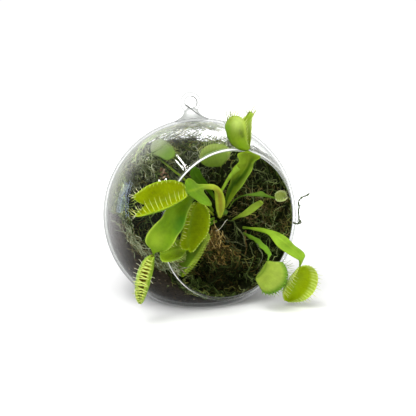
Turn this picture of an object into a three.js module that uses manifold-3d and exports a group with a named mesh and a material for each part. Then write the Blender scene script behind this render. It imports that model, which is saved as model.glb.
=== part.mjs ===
// Venus flytrap planted in moss inside a round glass globe with a side mouth and a hanging loop.
// Millimetres, +Z up. Origin: centre of the globe's flat base. The mouth faces -Y.
import * as THREE from 'three';
import { mergeVertices } from 'three/addons/utils/BufferGeometryUtils.js';
import Module from 'manifold-3d';

const wasm = await Module();
wasm.setup();

// ---------------------------------------------------------------- driving dimensions
const GLOBE_R = 60;          // outer radius of the blown globe
const WALL = 1.8;            // glass wall
const CENTRE_Z = 51.5;       // globe centre above its flat base
const BASE_GLASS = 2.2;      // glass thickness over the flat base
const MOUTH_R = 44.3;        // radius of the side mouth
const RIM_BEAD_R = 1.0;      // fire-polished bead round the mouth
const NECK_TILT = -0.088;    // the gathered neck leans towards -X, radians
const NECK_R = 3.5;          // narrowest radius of the solid neck
const LOOP_MAJOR_R = 4.85;   // centre-line radius of the hanging loop
const LOOP_ROD_R = 1.4;      // glass rod radius of the loop
const LOOP_TURN = -0.49;     // the loop's face is turned towards the front left, radians

const FILL_R = 57.6;         // soil and moss stop just short of the glass
const GAP = 0.4;             // clearance between touching pieces
const SOIL_Z0 = 8;           // soil height at the front of the mouth
const SOIL_RISE_Y = 0.72;    // soil climbs towards the back
const SOIL_RISE_X = -0.42;   // and towards the left wall
const SOIL_TOP = 56;         // highest soil
const SOIL_LOW = 7;          // lowest soil level, at the right
const MOSS_FRONT = -38;      // the moss stops here, just inside the mouth
// Hollow in the moss in front of the plant: [distance from the mouth's axis, y].
const MOSS_DISH = [[0, -12], [18, -12.6], [29, -16.5], [36, -22.5], [40.5, -30], [42.6, -37], [43.2, -62], [0, -62]];
const SOIL_COVER = 4;        // moss over the soil inside that hollow
const MOSS_SLOPE = { y0: -13, z0: 60, rise: 0.55 };           // upper moss leans back
const MOSS_TOP = { z0: 98, slope: 0.25 };                     // moss is a little lower at the right
const TUFT = { c: [-0.5, -28.5, 22], r: [15, 9.5, 15] };      // dry brown moss at the foot of the mouth
const CROWN = { c: [10.2, -8.7, 52.4], r: [4.2, 4.2, 4.6] };  // rosette base

const BLADE_T = 0.9;         // petiole blade
const LOBE_T = 0.9;          // trap lobe
const TOOTH_R = 0.5;         // root radius of a marginal tooth
const TOOTH_TIP_R = 0.16;
const TEETH_SHARE = 0.3;      // share of the real teeth that are solid here

// Leaves. pet: sections of the winged stalk from the rosette outwards, each [left edge, midrib, right edge].
// trap: h = midrib hinge from the stalk to the tip, a and b = margins of the two lobes,
// ba and bb = how far each lobe bulges, nt = teeth per lobe, ta and tb = tooth length along
// each lobe's margin, ca and cb = how far its teeth lean over the opening (lists run from u = 0 to 1).
const LEAVES = {
  leaf_low_left: {
    pet: [
      [[1.6,-14.1,56.8],[1.9,-13.9,55.9],[1.9,-14.6,55.2]],
      [[-12.4,-29.4,66.8],[-11.7,-29.4,65.6],[-11.5,-30.3,64.6]],
      [[-24.3,-38.7,72.2],[-23.0,-39.2,70.5],[-22.5,-40.3,69.2]],
      [[-31.8,-43.5,70.9],[-29.5,-43.9,69.3],[-27.8,-45.5,69.1]],
      [[-39.1,-45.4,68.2],[-34.5,-45.9,66.4],[-30.8,-48.4,66.8]],
      [[-44.6,-47.0,66.1],[-39.0,-47.5,63.7],[-33.5,-51.0,64.1]],
      [[-48.5,-48.5,62.2],[-42.0,-48.6,59.4],[-35.6,-52.8,61.2]],
      [[-53.1,-48.1,58.2],[-45.0,-49.1,55.0],[-37.7,-53.7,56.9]],
      [[-56.4,-46.8,53.3],[-48.2,-48.2,50.7],[-40.9,-53.0,52.2]],
      [[-57.0,-45.6,49.2],[-50.3,-47.2,47.1],[-43.2,-52.1,47.7]],
      [[-55.4,-45.3,46.4],[-51.4,-46.2,44.6],[-46.7,-50.0,43.5]],
      [[-53.0,-44.8,44.1],[-51.7,-45.1,42.7],[-50.4,-46.2,42.9]],
      [[-51.9,-43.7,41.2],[-51.4,-43.8,41.0],[-51.0,-44.2,40.9]],
      [[-51.4,-42.2,39.6],[-50.9,-42.2,39.4],[-50.6,-42.7,39.3]],
    ],
    trap: {
      h: [[-51.1,-42.6,40.0],[-49.9,-35.3,33.9],[-50.4,-32.3,28.0],[-51.3,-31.2,22.6],[-52.9,-32.1,17.1],[-55.1,-34.6,13.1],[-56.8,-36.9,11.8]],
      a: [[-53.0,-43.3,40.0],[-56.2,-44.3,38.0],[-58.5,-44.9,34.9],[-60.3,-45.4,31.3],[-61.4,-45.2,26.3],[-61.5,-44.0,20.9],[-60.3,-41.6,16.0],[-58.3,-38.8,12.3]],
      b: [[-51.6,-44.2,39.8],[-53.5,-45.4,37.4],[-55.2,-46.4,33.7],[-57.0,-47.0,29.2],[-58.3,-46.7,24.5],[-58.9,-45.0,19.8],[-58.8,-42.5,15.5],[-57.8,-39.2,12.2]],
      ba: 3.2, bb: 2.6, nt: 9, ta: [3.0, 5.0, 5.4, 5.0, 2.4], tb: [3.0, 5.0, 5.4, 5.0, 2.4], ca: [0.9], cb: [0.9],
    },
  },
  leaf_left: {
    pet: [
      [[3.4,-17.1,52.6],[4.9,-17.0,51.7],[5.5,-18.4,52.1]],
      [[0.2,-20.9,59.3],[3.3,-20.5,58.1],[4.9,-23.5,59.0]],
      [[-3.4,-26.2,66.2],[-0.3,-26.3,65.1],[1.6,-28.9,66.0]],
      [[-6.7,-31.5,71.0],[-4.3,-31.7,70.5],[-2.8,-33.5,71.4]],
      [[-12.0,-36.9,73.2],[-11.4,-38.0,74.8],[-10.0,-37.9,76.0]],
      [[-18.8,-41.7,74.2],[-19.4,-42.7,76.2],[-19.1,-42.0,77.6]],
      [[-19.9,-45.0,72.0],[-24.1,-45.9,76.2],[-25.1,-44.9,78.7]],
      [[-18.3,-47.7,68.4],[-26.7,-47.5,76.0],[-28.1,-46.3,80.7]],
      [[-18.7,-49.8,66.2],[-29.2,-49.0,75.9],[-30.9,-47.3,82.4]],
      [[-24.0,-50.7,67.4],[-31.3,-49.7,75.8],[-33.0,-48.1,82.1]],
      [[-29.0,-50.8,71.0],[-32.6,-49.7,75.6],[-34.3,-48.4,79.6]],
      [[-32.7,-50.1,73.7],[-33.5,-49.6,75.4],[-34.4,-48.9,77.3]],
      [[-34.2,-49.5,74.8],[-34.2,-49.4,75.4],[-34.3,-49.2,75.9]],
    ],
    trap: {
      h: [[-34.1,-49.4,75.4],[-37.8,-44.6,72.6],[-42.9,-41.0,70.1],[-48.4,-38.5,68.3],[-53.6,-37.2,67.6]],
      a: [[-34.9,-49.9,76.4],[-36.5,-51.8,79.9],[-40.9,-51.9,82.1],[-45.4,-50.6,82.6],[-50.9,-48.4,81.8],[-55.6,-45.7,79.5],[-59.3,-43.3,76.5],[-61.7,-41.4,73.7],[-59.2,-39.3,70.9],[-54.8,-38.0,68.3]],
      b: [[-34.3,-50.6,74.7],[-35.8,-54.0,73.9],[-41.4,-56.1,71.9],[-46.9,-56.4,69.9],[-52.1,-55.2,68.0],[-57.1,-52.5,66.2],[-60.8,-49.0,64.5],[-63.0,-45.7,63.7],[-59.4,-42.0,65.3],[-54.7,-38.6,67.3]],
      ba: 2.6, bb: 2.6, nt: 17, ta: [1.4, 1.3, 1.4, 2.2, 4.6], tb: [4.4, 6.4, 7.0, 6.0, 5.0], ca: [0.8, 0.8, 0.8, 0.5, 0.1], cb: [0.85, 0.85, 0.8, 0.6, 0.1],
    },
  },
  leaf_centre: {
    pet: [
      [[3.1,-11.1,53.6],[3.5,-11.0,52.8],[3.5,-11.6,52.0]],
      [[-6.3,-22.6,59.5],[-5.9,-22.6,58.4],[-5.9,-23.3,57.6]],
      [[-15.9,-34.3,64.9],[-15.5,-34.1,64.0],[-15.5,-34.8,63.3]],
      [[-22.5,-41.6,67.5],[-22.2,-41.4,66.8],[-22.3,-42.0,66.2]],
      [[-24.1,-42.8,67.8],[-24.0,-42.9,67.3],[-24.0,-43.1,66.9]],
    ],
    trap: {
      h: [[-24.2,-42.9,67.1],[-24.2,-38.4,62.3],[-24.9,-36.7,56.5],[-26.4,-37.2,50.3],[-28.9,-40.6,45.1],[-30.8,-45.6,41.6]],
      a: [[-25.4,-43.6,68.3],[-29.0,-45.9,66.9],[-32.0,-47.9,64.0],[-34.1,-49.2,59.9],[-35.6,-49.9,55.1],[-36.6,-49.4,50.6],[-37.3,-47.6,46.5],[-36.0,-46.8,43.7],[-33.1,-46.8,42.1]],
      b: [[-23.8,-44.4,67.3],[-22.8,-48.0,67.0],[-21.8,-51.2,65.0],[-21.4,-53.3,61.6],[-21.8,-54.1,57.9],[-22.6,-54.3,53.8],[-24.3,-53.8,49.9],[-27.0,-52.2,46.2],[-29.0,-49.9,42.3],[-30.2,-47.1,40.3]],
      ba: 2.4, bb: 2.6, nt: 17, ta: [4.6], tb: [4.6], ca: [0.35], cb: [0.35],
    },
  },
  leaf_lower_front: {
    pet: [
      [[3.8,-10.8,51.2],[4.3,-10.8,50.4],[4.4,-11.5,49.8]],
      [[-8.9,-20.9,50.3],[-8.3,-20.9,49.4],[-8.1,-21.6,48.7]],
      [[-19.6,-30.0,45.8],[-19.0,-30.0,44.9],[-18.8,-30.7,44.3]],
      [[-26.5,-35.7,42.5],[-26.0,-35.8,41.8],[-25.8,-36.4,41.2]],
      [[-28.1,-36.7,42.0],[-27.9,-36.8,41.6],[-27.9,-37.0,41.1]],
    ],
    trap: {
      h: [[-27.7,-36.5,41.3],[-31.5,-37.5,41.1],[-37.7,-39.9,41.3],[-43.4,-42.6,41.3],[-47.6,-44.6,41.2]],
      a: [[-27.4,-37.0,40.5],[-29.6,-38.1,37.7],[-34.1,-43.1,37.3],[-39.0,-47.0,37.2],[-43.4,-48.6,37.1],[-46.6,-49.0,37.2],[-48.4,-48.3,37.9],[-48.8,-46.6,39.7]],
      b: [[-29.1,-37.4,43.1],[-33.0,-39.8,46.0],[-37.5,-42.2,47.4],[-42.2,-44.1,47.3],[-45.6,-44.9,45.8],[-47.6,-45.3,43.5],[-48.0,-45.1,42.1]],
      ba: 1.6, bb: 1.4, nt: 17, ta: [3.4, 3.2, 2.4, 2.0, 1.8], tb: [2.4], ca: [0.1], cb: [0.1],
    },
  },
  leaf_lower_inner: {
    pet: [
      [[5.2,-10.9,49.1],[5.8,-10.9,48.4],[6.2,-11.6,47.9]],
      [[-2.1,-16.1,48.7],[-1.5,-16.1,47.9],[-1.4,-16.8,47.2]],
      [[-9.7,-23.5,46.8],[-9.2,-23.5,46.0],[-9.0,-24.2,45.4]],
      [[-15.5,-29.2,45.2],[-15.0,-29.3,44.6],[-14.8,-29.9,44.1]],
      [[-16.6,-30.3,44.8],[-16.3,-30.4,44.4],[-16.1,-30.7,44.1]],
    ],
    trap: {
      h: [[-16.2,-30.4,44.5],[-21.2,-29.2,39.9],[-26.0,-28.2,35.4],[-29.1,-28.7,30.8],[-29.7,-30.7,26.2],[-29.1,-33.1,23.1]],
      a: [[-16.4,-33.0,44.6],[-15.9,-38.6,44.5],[-19.3,-41.8,41.4],[-22.3,-42.9,37.5],[-25.5,-42.5,33.3],[-28.0,-40.4,29.6],[-29.4,-37.6,26.3],[-29.6,-35.0,23.5]],
      b: [[-14.7,-30.4,45.1],[-10.7,-30.9,46.2],[-9.2,-30.9,43.4],[-10.9,-29.9,39.3],[-13.1,-29.5,34.6],[-16.3,-29.3,29.7],[-20.3,-29.8,25.9],[-24.5,-30.9,23.4],[-27.7,-32.4,22.2]],
      ba: 2.4, bb: 2.2, nt: 19, ta: [1.4], tb: [1.6], ca: [0.6], cb: [0.6],
    },
  },
  leaf_top: {
    pet: [
      [[10.3,-12.3,57.2],[11.3,-12.3,56.6],[11.7,-13.3,56.5]],
      [[5.3,-19.7,66.3],[10.3,-18.0,63.2],[10.9,-20.8,62.4]],
      [[2.3,-26.5,73.5],[10.4,-22.4,69.7],[11.4,-27.1,68.7]],
      [[2.3,-32.8,80.2],[11.0,-27.0,75.8],[12.6,-32.6,74.4]],
      [[2.7,-38.2,85.0],[11.2,-32.5,80.7],[12.8,-37.8,79.5]],
      [[3.0,-42.4,88.7],[10.7,-38.2,85.5],[12.2,-43.1,85.5]],
      [[2.3,-44.1,90.9],[9.6,-42.2,88.9],[11.3,-46.6,88.7]],
      [[1.0,-45.4,93.5],[8.1,-45.3,92.1],[12.1,-52.0,92.2]],
      [[3.4,-47.5,95.0],[6.9,-47.7,94.3],[8.9,-50.7,93.8]],
      [[5.6,-48.5,95.7],[6.1,-48.7,95.5],[6.6,-49.1,95.4]],
    ],
    trap: {
      h: [[6.2,-48.5,96.3],[4.1,-44.0,96.2],[1.3,-39.7,98.6],[-0.6,-37.2,103.2],[-1.5,-36.9,107.8]],
      a: [[5.7,-49.6,97.5],[3.6,-51.2,102.2],[2.5,-51.8,107.4],[2.7,-50.4,112.1],[1.5,-46.9,115.0],[-0.5,-42.8,115.4],[-1.9,-39.5,113.2],[-2.3,-37.9,109.8]],
      b: [[7.4,-47.6,97.2],[9.2,-45.5,102.6],[10.6,-43.8,108.7],[11.4,-42.8,113.5],[12.4,-42.7,116.2],[11.3,-41.2,117.5],[10.2,-39.9,115.6],[7.5,-38.1,112.8],[3.1,-35.8,111.5],[-0.4,-35.6,109.1]],
      ba: 3.6, bb: 2.2, nt: 17, ta: [2, 1.8, 2.2, 6, 6.4], tb: [2.4, 3, 4.4, 3, 1.6], ca: [0.9, 0.9, 0.7, 0, 0], cb: [0.5, 0.3, -0.1, 0.1, 0.6],
    },
  },
  leaf_right_long: {
    pet: [
      [[23.6,-12.2,42.0],[24.1,-11.7,42.6],[24.0,-12.1,43.6]],
      [[24.0,-20.8,43.2],[24.3,-20.3,43.8],[24.1,-20.6,44.5]],
      [[25.2,-30.7,43.5],[26.0,-30.1,44.4],[26.1,-30.5,45.8]],
      [[26.1,-38.2,43.3],[27.8,-37.7,44.3],[28.8,-38.4,45.5]],
      [[25.5,-45.0,41.3],[28.7,-44.2,42.9],[31.1,-44.5,44.5]],
      [[26.6,-49.3,37.8],[31.0,-48.3,40.2],[34.4,-48.5,41.6]],
      [[29.8,-52.8,34.5],[33.6,-51.5,37.3],[36.9,-51.5,38.1]],
      [[33.5,-55.3,31.9],[36.5,-53.9,34.2],[40.1,-54.0,35.1]],
      [[36.4,-56.1,30.2],[38.0,-55.3,31.5],[41.6,-55.9,32.2]],
      [[37.9,-55.5,29.0],[38.5,-55.5,29.5],[40.3,-56.0,29.5]],
      [[38.4,-54.2,25.7],[38.9,-54.4,25.5],[39.3,-54.7,25.5]],
    ],
    trap: {
      h: [[39.0,-54.4,24.9],[40.2,-50.4,19.6],[40.0,-48.0,14.1],[38.4,-46.9,8.7],[36.3,-46.8,4.8],[34.3,-47.8,2.9]],
      a: [[37.4,-55.7,24.8],[34.8,-56.9,22.1],[31.5,-57.2,19.0],[28.7,-56.6,16.0],[27.3,-55.2,12.4],[28.4,-53.0,8.0],[31.5,-50.2,4.0]],
      b: [[39.4,-55.7,25.3],[41.2,-58.7,26.5],[43.8,-61.3,25.3],[45.5,-63.2,21.7],[45.3,-63.8,16.9],[43.9,-63.1,12.2],[41.7,-61.0,8.0],[39.3,-57.6,4.9],[36.6,-53.3,3.4],[34.8,-49.5,2.6]],
      ba: 2.4, bb: 2.6, nt: 18, ta: [4.6, 5.6, 6.0, 5.4, 3.6], tb: [3.6, 4.6, 5.0, 4.6, 3.6], ca: [0.15], cb: [0.0],
    },
  },
  leaf_right_short: {
    pet: [
      [[23.8,-13.5,38.7],[24.4,-13.0,39.3],[24.4,-13.5,40.2]],
      [[22.7,-23.0,37.9],[23.4,-22.5,38.8],[23.7,-22.9,39.9]],
      [[22.3,-30.2,37.5],[23.5,-29.7,38.5],[23.9,-30.4,39.6]],
      [[21.1,-37.0,36.1],[22.9,-36.7,37.0],[23.6,-37.5,38.1]],
      [[20.5,-43.2,34.8],[22.4,-43.0,35.2],[23.2,-43.7,36.2]],
      [[20.5,-47.2,33.5],[21.8,-47.1,33.8],[23.2,-48.2,33.4]],
      [[19.9,-48.7,32.3],[20.4,-48.9,32.2],[20.8,-49.3,31.9]],
      [[18.8,-49.7,30.1],[19.2,-49.9,30.0],[19.6,-50.2,29.9]],
    ],
    trap: {
      h: [[19.2,-49.9,29.7],[17.8,-47.8,25.8],[16.0,-46.6,22.3],[13.7,-46.5,19.4]],
      a: [[19.3,-51.8,30.0],[21.1,-56.4,30.6],[23.3,-59.8,30.9],[24.4,-62.4,27.8],[24.6,-63.6,23.6],[23.4,-63.3,19.0],[20.6,-60.8,14.9],[16.9,-56.9,12.2],[14.7,-52.9,12.4],[13.4,-49.1,16.3],[13.1,-47.3,18.3]],
      b: [[20.2,-49.2,29.6],[23.6,-51.4,29.0],[26.3,-53.8,28.5],[27.5,-56.1,25.3],[27.6,-57.3,21.7],[26.4,-56.9,17.6],[23.7,-54.6,13.8],[20.1,-51.4,11.5],[17.3,-48.3,12.2],[15.1,-46.1,16.2],[13.9,-45.7,18.2]],
      ba: 3.0, bb: 2.6, nt: 17, ta: [3.0, 4.2, 4.4, 2.6, 1.4], tb: [3.0, 4.0, 4.0, 2.6, 1.6], ca: [0.25, 0.2, 0.2, 0.5, 0.8], cb: [0.3],
    },
  },
  leaf_right_small: {
    pet: [
      [[12.5,-14.5,55.9],[12.9,-14.1,56.4],[13.0,-14.5,57.1]],
      [[14.7,-18.0,61.1],[15.0,-17.6,61.8],[15.0,-17.9,62.6]],
      [[18.4,-22.7,64.4],[19.0,-22.2,65.1],[19.0,-22.7,66.1]],
      [[23.7,-26.9,64.7],[24.6,-26.2,65.9],[24.6,-26.8,67.5]],
      [[27.2,-29.1,64.2],[28.1,-28.1,65.8],[27.9,-28.6,68.1]],
      [[31.2,-30.3,63.8],[31.8,-29.8,64.6],[31.8,-30.2,65.8]],
      [[35.2,-31.5,63.0],[35.5,-31.3,63.6],[35.5,-31.4,64.2]],
    ],
    trap: {
      h: [[35.6,-31.3,63.6],[38.3,-32.0,63.1],[41.3,-33.3,63.4]],
      a: [[35.2,-32.1,64.5],[34.7,-33.2,66.8],[36.9,-34.7,68.4],[39.9,-35.9,67.5],[41.3,-35.2,65.2],[41.4,-34.2,63.9]],
      b: [[35.2,-32.6,63.2],[34.7,-35.7,62.7],[36.3,-37.6,62.8],[39.1,-37.5,63.2],[40.8,-35.5,63.4],[41.3,-34.4,63.5]],
      ba: 1.0, bb: 1.0, nt: 9, ta: [2.2], tb: [2.2], ca: [0.4], cb: [0.4],
    },
  },
  leaf_young: {
    pet: [
      [[17.2,-11.0,47.2],[17.2,-10.4,47.8],[16.9,-10.5,48.5]],
      [[17.6,-18.8,50.6],[17.4,-18.1,51.2],[16.8,-18.1,52.0]],
      [[19.5,-25.5,53.0],[19.4,-24.0,54.5],[18.1,-24.3,56.0]],
      [[22.1,-30.2,56.6],[21.7,-28.1,58.1],[20.0,-28.7,60.0]],
      [[24.1,-33.8,60.1],[23.8,-32.1,61.1],[22.1,-32.3,62.5]],
      [[24.4,-35.5,61.7],[24.2,-34.7,62.5],[22.9,-34.3,63.6]],
    ],
  },
  leaf_inner_left: {
    pet: [
      [[7.0,-9.3,59.1],[7.8,-9.1,59.4],[8.2,-9.7,59.9]],
      [[-1.2,-13.8,67.3],[0.1,-13.4,67.9],[0.7,-14.5,68.8]],
      [[-9.2,-18.6,72.5],[-6.8,-18.3,73.4],[-5.7,-19.9,75.0]],
      [[-15.4,-21.6,76.5],[-12.2,-21.4,77.7],[-10.5,-23.3,79.7]],
      [[-18.1,-22.8,80.4],[-15.3,-22.9,81.4],[-12.8,-24.7,83.3]],
      [[-17.8,-23.8,84.1],[-16.8,-24.0,84.5],[-15.5,-24.8,85.1]],
    ],
  },
  leaf_back_left: {
    pet: [
      [[5.6,-6.7,56.9],[6.3,-6.5,57.4],[6.6,-7.0,57.9]],
      [[-1.9,-8.6,64.0],[-1.0,-8.4,64.8],[-0.4,-9.0,65.7]],
      [[-11.9,-9.6,71.2],[-10.9,-9.2,72.2],[-10.5,-9.9,73.2]],
      [[-21.3,-9.9,78.6],[-20.0,-9.5,79.7],[-19.4,-10.5,80.9]],
      [[-28.8,-8.3,84.9],[-27.4,-7.9,86.1],[-26.7,-8.9,87.2]],
      [[-33.8,-6.0,90.1],[-33.0,-5.9,90.7],[-32.4,-6.4,91.4]],
      [[-34.6,-5.5,91.2],[-34.1,-5.6,91.6],[-33.7,-5.8,92.0]],
    ],
    trap: {
      h: [[-34.0,-5.5,91.6],[-34.1,-3.2,94.8],[-32.1,-2.2,98.2],[-28.5,-3.0,100.0]],
      a: [[-33.8,-7.5,91.4],[-32.0,-11.2,90.4],[-28.8,-14.6,88.8],[-25.3,-15.7,90.3],[-23.7,-14.4,93.0],[-24.7,-11.1,96.2],[-26.8,-7.2,98.7],[-28.2,-4.6,99.8]],
      b: [[-33.0,-4.4,91.9],[-28.7,-2.6,90.4],[-24.2,-3.0,89.0],[-20.8,-3.8,90.3],[-20.1,-4.1,93.1],[-22.3,-3.4,96.4],[-25.4,-2.5,99.0],[-27.6,-2.3,100.0]],
      ba: 2.4, bb: 2.2, nt: 13, ta: [3.6], tb: [3.6], ca: [0.4], cb: [0.4],
    },
  },
  leaf_back_top: {
    pet: [
      [[10.3,-7.9,58.6],[11.1,-7.8,58.8],[11.4,-8.4,59.1]],
      [[7.5,-12.9,67.0],[8.6,-12.8,67.2],[9.1,-13.7,67.5]],
      [[5.0,-17.7,75.1],[6.4,-17.6,75.3],[7.1,-18.7,75.7]],
      [[3.0,-21.5,81.9],[4.2,-21.4,82.1],[4.7,-22.3,82.4]],
      [[2.9,-22.9,84.6],[3.4,-22.9,84.9],[3.8,-23.3,85.1]],
    ],
    trap: {
      h: [[3.5,-22.7,84.9],[1.0,-19.9,84.3],[-2.3,-17.5,84.2],[-6.0,-16.2,85.6]],
      a: [[4.2,-23.8,86.1],[5.6,-26.6,89.6],[6.1,-27.8,93.9],[3.4,-26.6,97.0],[-1.3,-24.1,97.9],[-5.9,-21.3,96.3],[-8.7,-18.8,92.6],[-8.5,-17.2,88.8],[-7.0,-16.6,86.3]],
      b: [[4.7,-21.6,85.8],[8.6,-19.2,89.2],[10.3,-16.7,93.2],[8.2,-14.2,96.0],[4.1,-11.6,96.5],[-0.6,-10.1,95.1],[-4.2,-10.7,92.1],[-5.7,-12.9,88.9],[-5.9,-15.1,86.6]],
      ba: 2.4, bb: 2.2, nt: 15, ta: [3.6], tb: [3.6], ca: [0.1], cb: [0.1],
    },
  },
};

// ---------------------------------------------------------------- solids and booleans
function solidFromArrays(verts, tris) {
  let vol = 0;
  for (let i = 0; i < tris.length; i += 3) {
    const [a, b, c] = [tris[i] * 3, tris[i + 1] * 3, tris[i + 2] * 3];
    vol += verts[a] * (verts[b + 1] * verts[c + 2] - verts[b + 2] * verts[c + 1])
      + verts[a + 1] * (verts[b + 2] * verts[c] - verts[b] * verts[c + 2])
      + verts[a + 2] * (verts[b] * verts[c + 1] - verts[b + 1] * verts[c]);
  }
  const t = new Uint32Array(tris);
  if (vol < 0) for (let i = 0; i < t.length; i += 3) { const k = t[i + 1]; t[i + 1] = t[i + 2]; t[i + 2] = k; }
  return new wasm.Manifold(new wasm.Mesh({ numProp: 3, vertProperties: new Float32Array(verts), triVerts: t }));
}

function solid(geometry, matrix) {
  let g = geometry.clone();
  if (matrix) g.applyMatrix4(matrix);
  g.deleteAttribute('normal');
  g.deleteAttribute('uv');
  g = mergeVertices(g, 1e-3);
  const idx = g.index.array;
  const tris = [];
  for (let i = 0; i < idx.length; i += 3) {
    const [a, b, c] = [idx[i], idx[i + 1], idx[i + 2]];
    if (a !== b && b !== c && a !== c) tris.push(a, b, c);
  }
  return solidFromArrays(Array.from(g.attributes.position.array), tris);
}

function biggestBody(man) {
  const parts = man.decompose();
  if (parts.length < 2) return man;
  return parts.sort((p, q) => q.volume() - p.volume())[0];
}

function geometryOf(man) {
  const m = man.getMesh();
  const g = new THREE.BufferGeometry();
  g.setAttribute('position', new THREE.BufferAttribute(new Float32Array(m.vertProperties), 3));
  g.setIndex(new THREE.BufferAttribute(new Uint32Array(m.triVerts), 1));
  g.computeVertexNormals();
  return g;
}

const M4 = () => new THREE.Matrix4();
const at = (x, y, z) => M4().makeTranslation(x, y, z);

// A lathe about +Z from [radius, height] pairs that start and end on the axis or close on themselves.
function lathe(pairs, segments) {
  const pts = pairs.map(([r, z]) => new THREE.Vector2(r, z));
  return new THREE.LatheGeometry(pts, segments).rotateX(Math.PI / 2);
}

// Sphere of radius r about the globe's centre, cut flat at height zCut.
function truncatedGlobe(r, zCut, segments, rings) {
  const c = CENTRE_Z;
  const start = Math.acos((c - zCut) / r);
  const pts = [[0, zCut]];
  for (let i = 0; i <= rings; i++) {
    const t = start + (Math.PI - start) * i / rings;
    pts.push([Math.max(0, r * Math.sin(t)), c - r * Math.cos(t)]);
  }
  pts[pts.length - 1][0] = 0;
  return solid(lathe(pts, segments));
}

const box = (x0, x1, y0, y1, z0, z1) =>
  solid(new THREE.BoxGeometry(x1 - x0, y1 - y0, z1 - z0), at((x0 + x1) / 2, (y0 + y1) / 2, (z0 + z1) / 2));

// Everything below the plane z = z0 + ay*(y - y0) + ax*x, inside a large block.
function below(z0, y0, ay, ax) {
  const s = 90, v = [], t = [];
  for (const [x, y] of [[-s, -s], [s, -s], [s, s], [-s, s]]) {
    v.push(x, y, -200);
  }
  for (const [x, y] of [[-s, -s], [s, -s], [s, s], [-s, s]]) v.push(x, y, z0 + ay * (y - y0) + ax * x);
  t.push(0, 2, 1, 0, 3, 2, 4, 5, 6, 4, 6, 7);
  for (let i = 0; i < 4; i++) { const j = (i + 1) % 4; t.push(i, j, 4 + j, i, 4 + j, 4 + i); }
  return solidFromArrays(v, t);
}

const ellipsoid = ({ c, r }, grow = 0, w = 24, h = 16) =>
  solid(new THREE.SphereGeometry(1, w, h), at(...c).multiply(M4().makeScale(r[0] + grow, r[1] + grow, r[2] + grow)));

// ---------------------------------------------------------------- curves and thin sheets
const V = (p) => new THREE.Vector3(p[0], p[1], p[2]);

function knots(points) {
  const k = [0];
  for (let i = 1; i < points.length; i++) k.push(k[i - 1] + Math.max(points[i].distanceTo(points[i - 1]), 1e-3));
  return k.map((x) => x / k[k.length - 1]);
}

// Smooth curve through points at the given knots (cubic Hermite, finite-difference slopes).
function curve(points, ks = knots(points)) {
  const n = points.length;
  const slope = points.map((p, i) => {
    const a = Math.max(0, i - 1), b = Math.min(n - 1, i + 1);
    return points[b].clone().sub(points[a]).divideScalar(ks[b] - ks[a]);
  });
  return (t) => {
    let i = 0;
    while (i < n - 2 && t > ks[i + 1]) i++;
    const h = ks[i + 1] - ks[i], s = (t - ks[i]) / h, s2 = s * s, s3 = s2 * s;
    return points[i].clone().multiplyScalar(2 * s3 - 3 * s2 + 1)
      .addScaledVector(slope[i], h * (s3 - 2 * s2 + s))
      .addScaledVector(points[i + 1], 3 * s2 - 2 * s3)
      .addScaledVector(slope[i + 1], h * (s3 - s2));
  };
}

// Closed thin solid round a grid of points P[i][j], half-thickness half(i, j) to each side.
function sheet(P, half) {
  const nu = P.length, nv = P[0].length, v = [], t = [];
  const normal = (i, j) => {
    const du = P[Math.min(nu - 1, i + 1)][j].clone().sub(P[Math.max(0, i - 1)][j]);
    const dv = P[i][Math.min(nv - 1, j + 1)].clone().sub(P[i][Math.max(0, j - 1)]);
    return du.cross(dv).normalize();
  };
  const N = P.map((row, i) => row.map((_, j) => normal(i, j)));
  for (const side of [1, -1]) for (let i = 0; i < nu; i++) for (let j = 0; j < nv; j++) {
    const p = P[i][j].clone().addScaledVector(N[i][j], side * half(i / (nu - 1), j / (nv - 1)));
    v.push(p.x, p.y, p.z);
  }
  const id = (s, i, j) => s * nu * nv + i * nv + j;
  const quad = (a, b, c, d) => t.push(a, b, c, a, c, d);
  for (let i = 0; i < nu - 1; i++) for (let j = 0; j < nv - 1; j++) {
    quad(id(0, i, j), id(0, i + 1, j), id(0, i + 1, j + 1), id(0, i, j + 1));
    quad(id(1, i, j), id(1, i, j + 1), id(1, i + 1, j + 1), id(1, i + 1, j));
  }
  for (let i = 0; i < nu - 1; i++) {
    quad(id(0, i, 0), id(1, i, 0), id(1, i + 1, 0), id(0, i + 1, 0));
    quad(id(0, i + 1, nv - 1), id(1, i + 1, nv - 1), id(1, i, nv - 1), id(0, i, nv - 1));
  }
  for (let j = 0; j < nv - 1; j++) {
    quad(id(0, 0, j + 1), id(1, 0, j + 1), id(1, 0, j), id(0, 0, j));
    quad(id(0, nu - 1, j), id(1, nu - 1, j), id(1, nu - 1, j + 1), id(0, nu - 1, j + 1));
  }
  return solidFromArrays(v, t);
}

// Winged stalk: three curves (left edge, midrib, right edge) spanned by a quadratic across.
function stalk(sections, grow, rows, cols) {
  const S = sections.map((s) => s.map(V));
  const ks = knots(S.map((s) => s[1]));
  const L = curve(S.map((s) => s[0]), ks), C = curve(S.map((s) => s[1]), ks), R = curve(S.map((s) => s[2]), ks);
  const P = [];
  for (let i = 0; i <= rows; i++) {
    const t = i / rows, l = L(t), c = C(t), r = R(t), row = [];
    const across = r.clone().sub(l);
    const w = across.length();
    across.multiplyScalar((w + 2 * grow) / w / 2);
    const sag = l.clone().add(r).multiplyScalar(0.5).sub(c);
    for (let j = 0; j <= cols; j++) {
      const s = 2 * j / cols - 1;
      row.push(c.clone().addScaledVector(across, s).addScaledVector(sag, s * s));
    }
    P.push(row);
  }
  return sheet(P, () => BLADE_T / 2 + grow);
}

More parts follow.
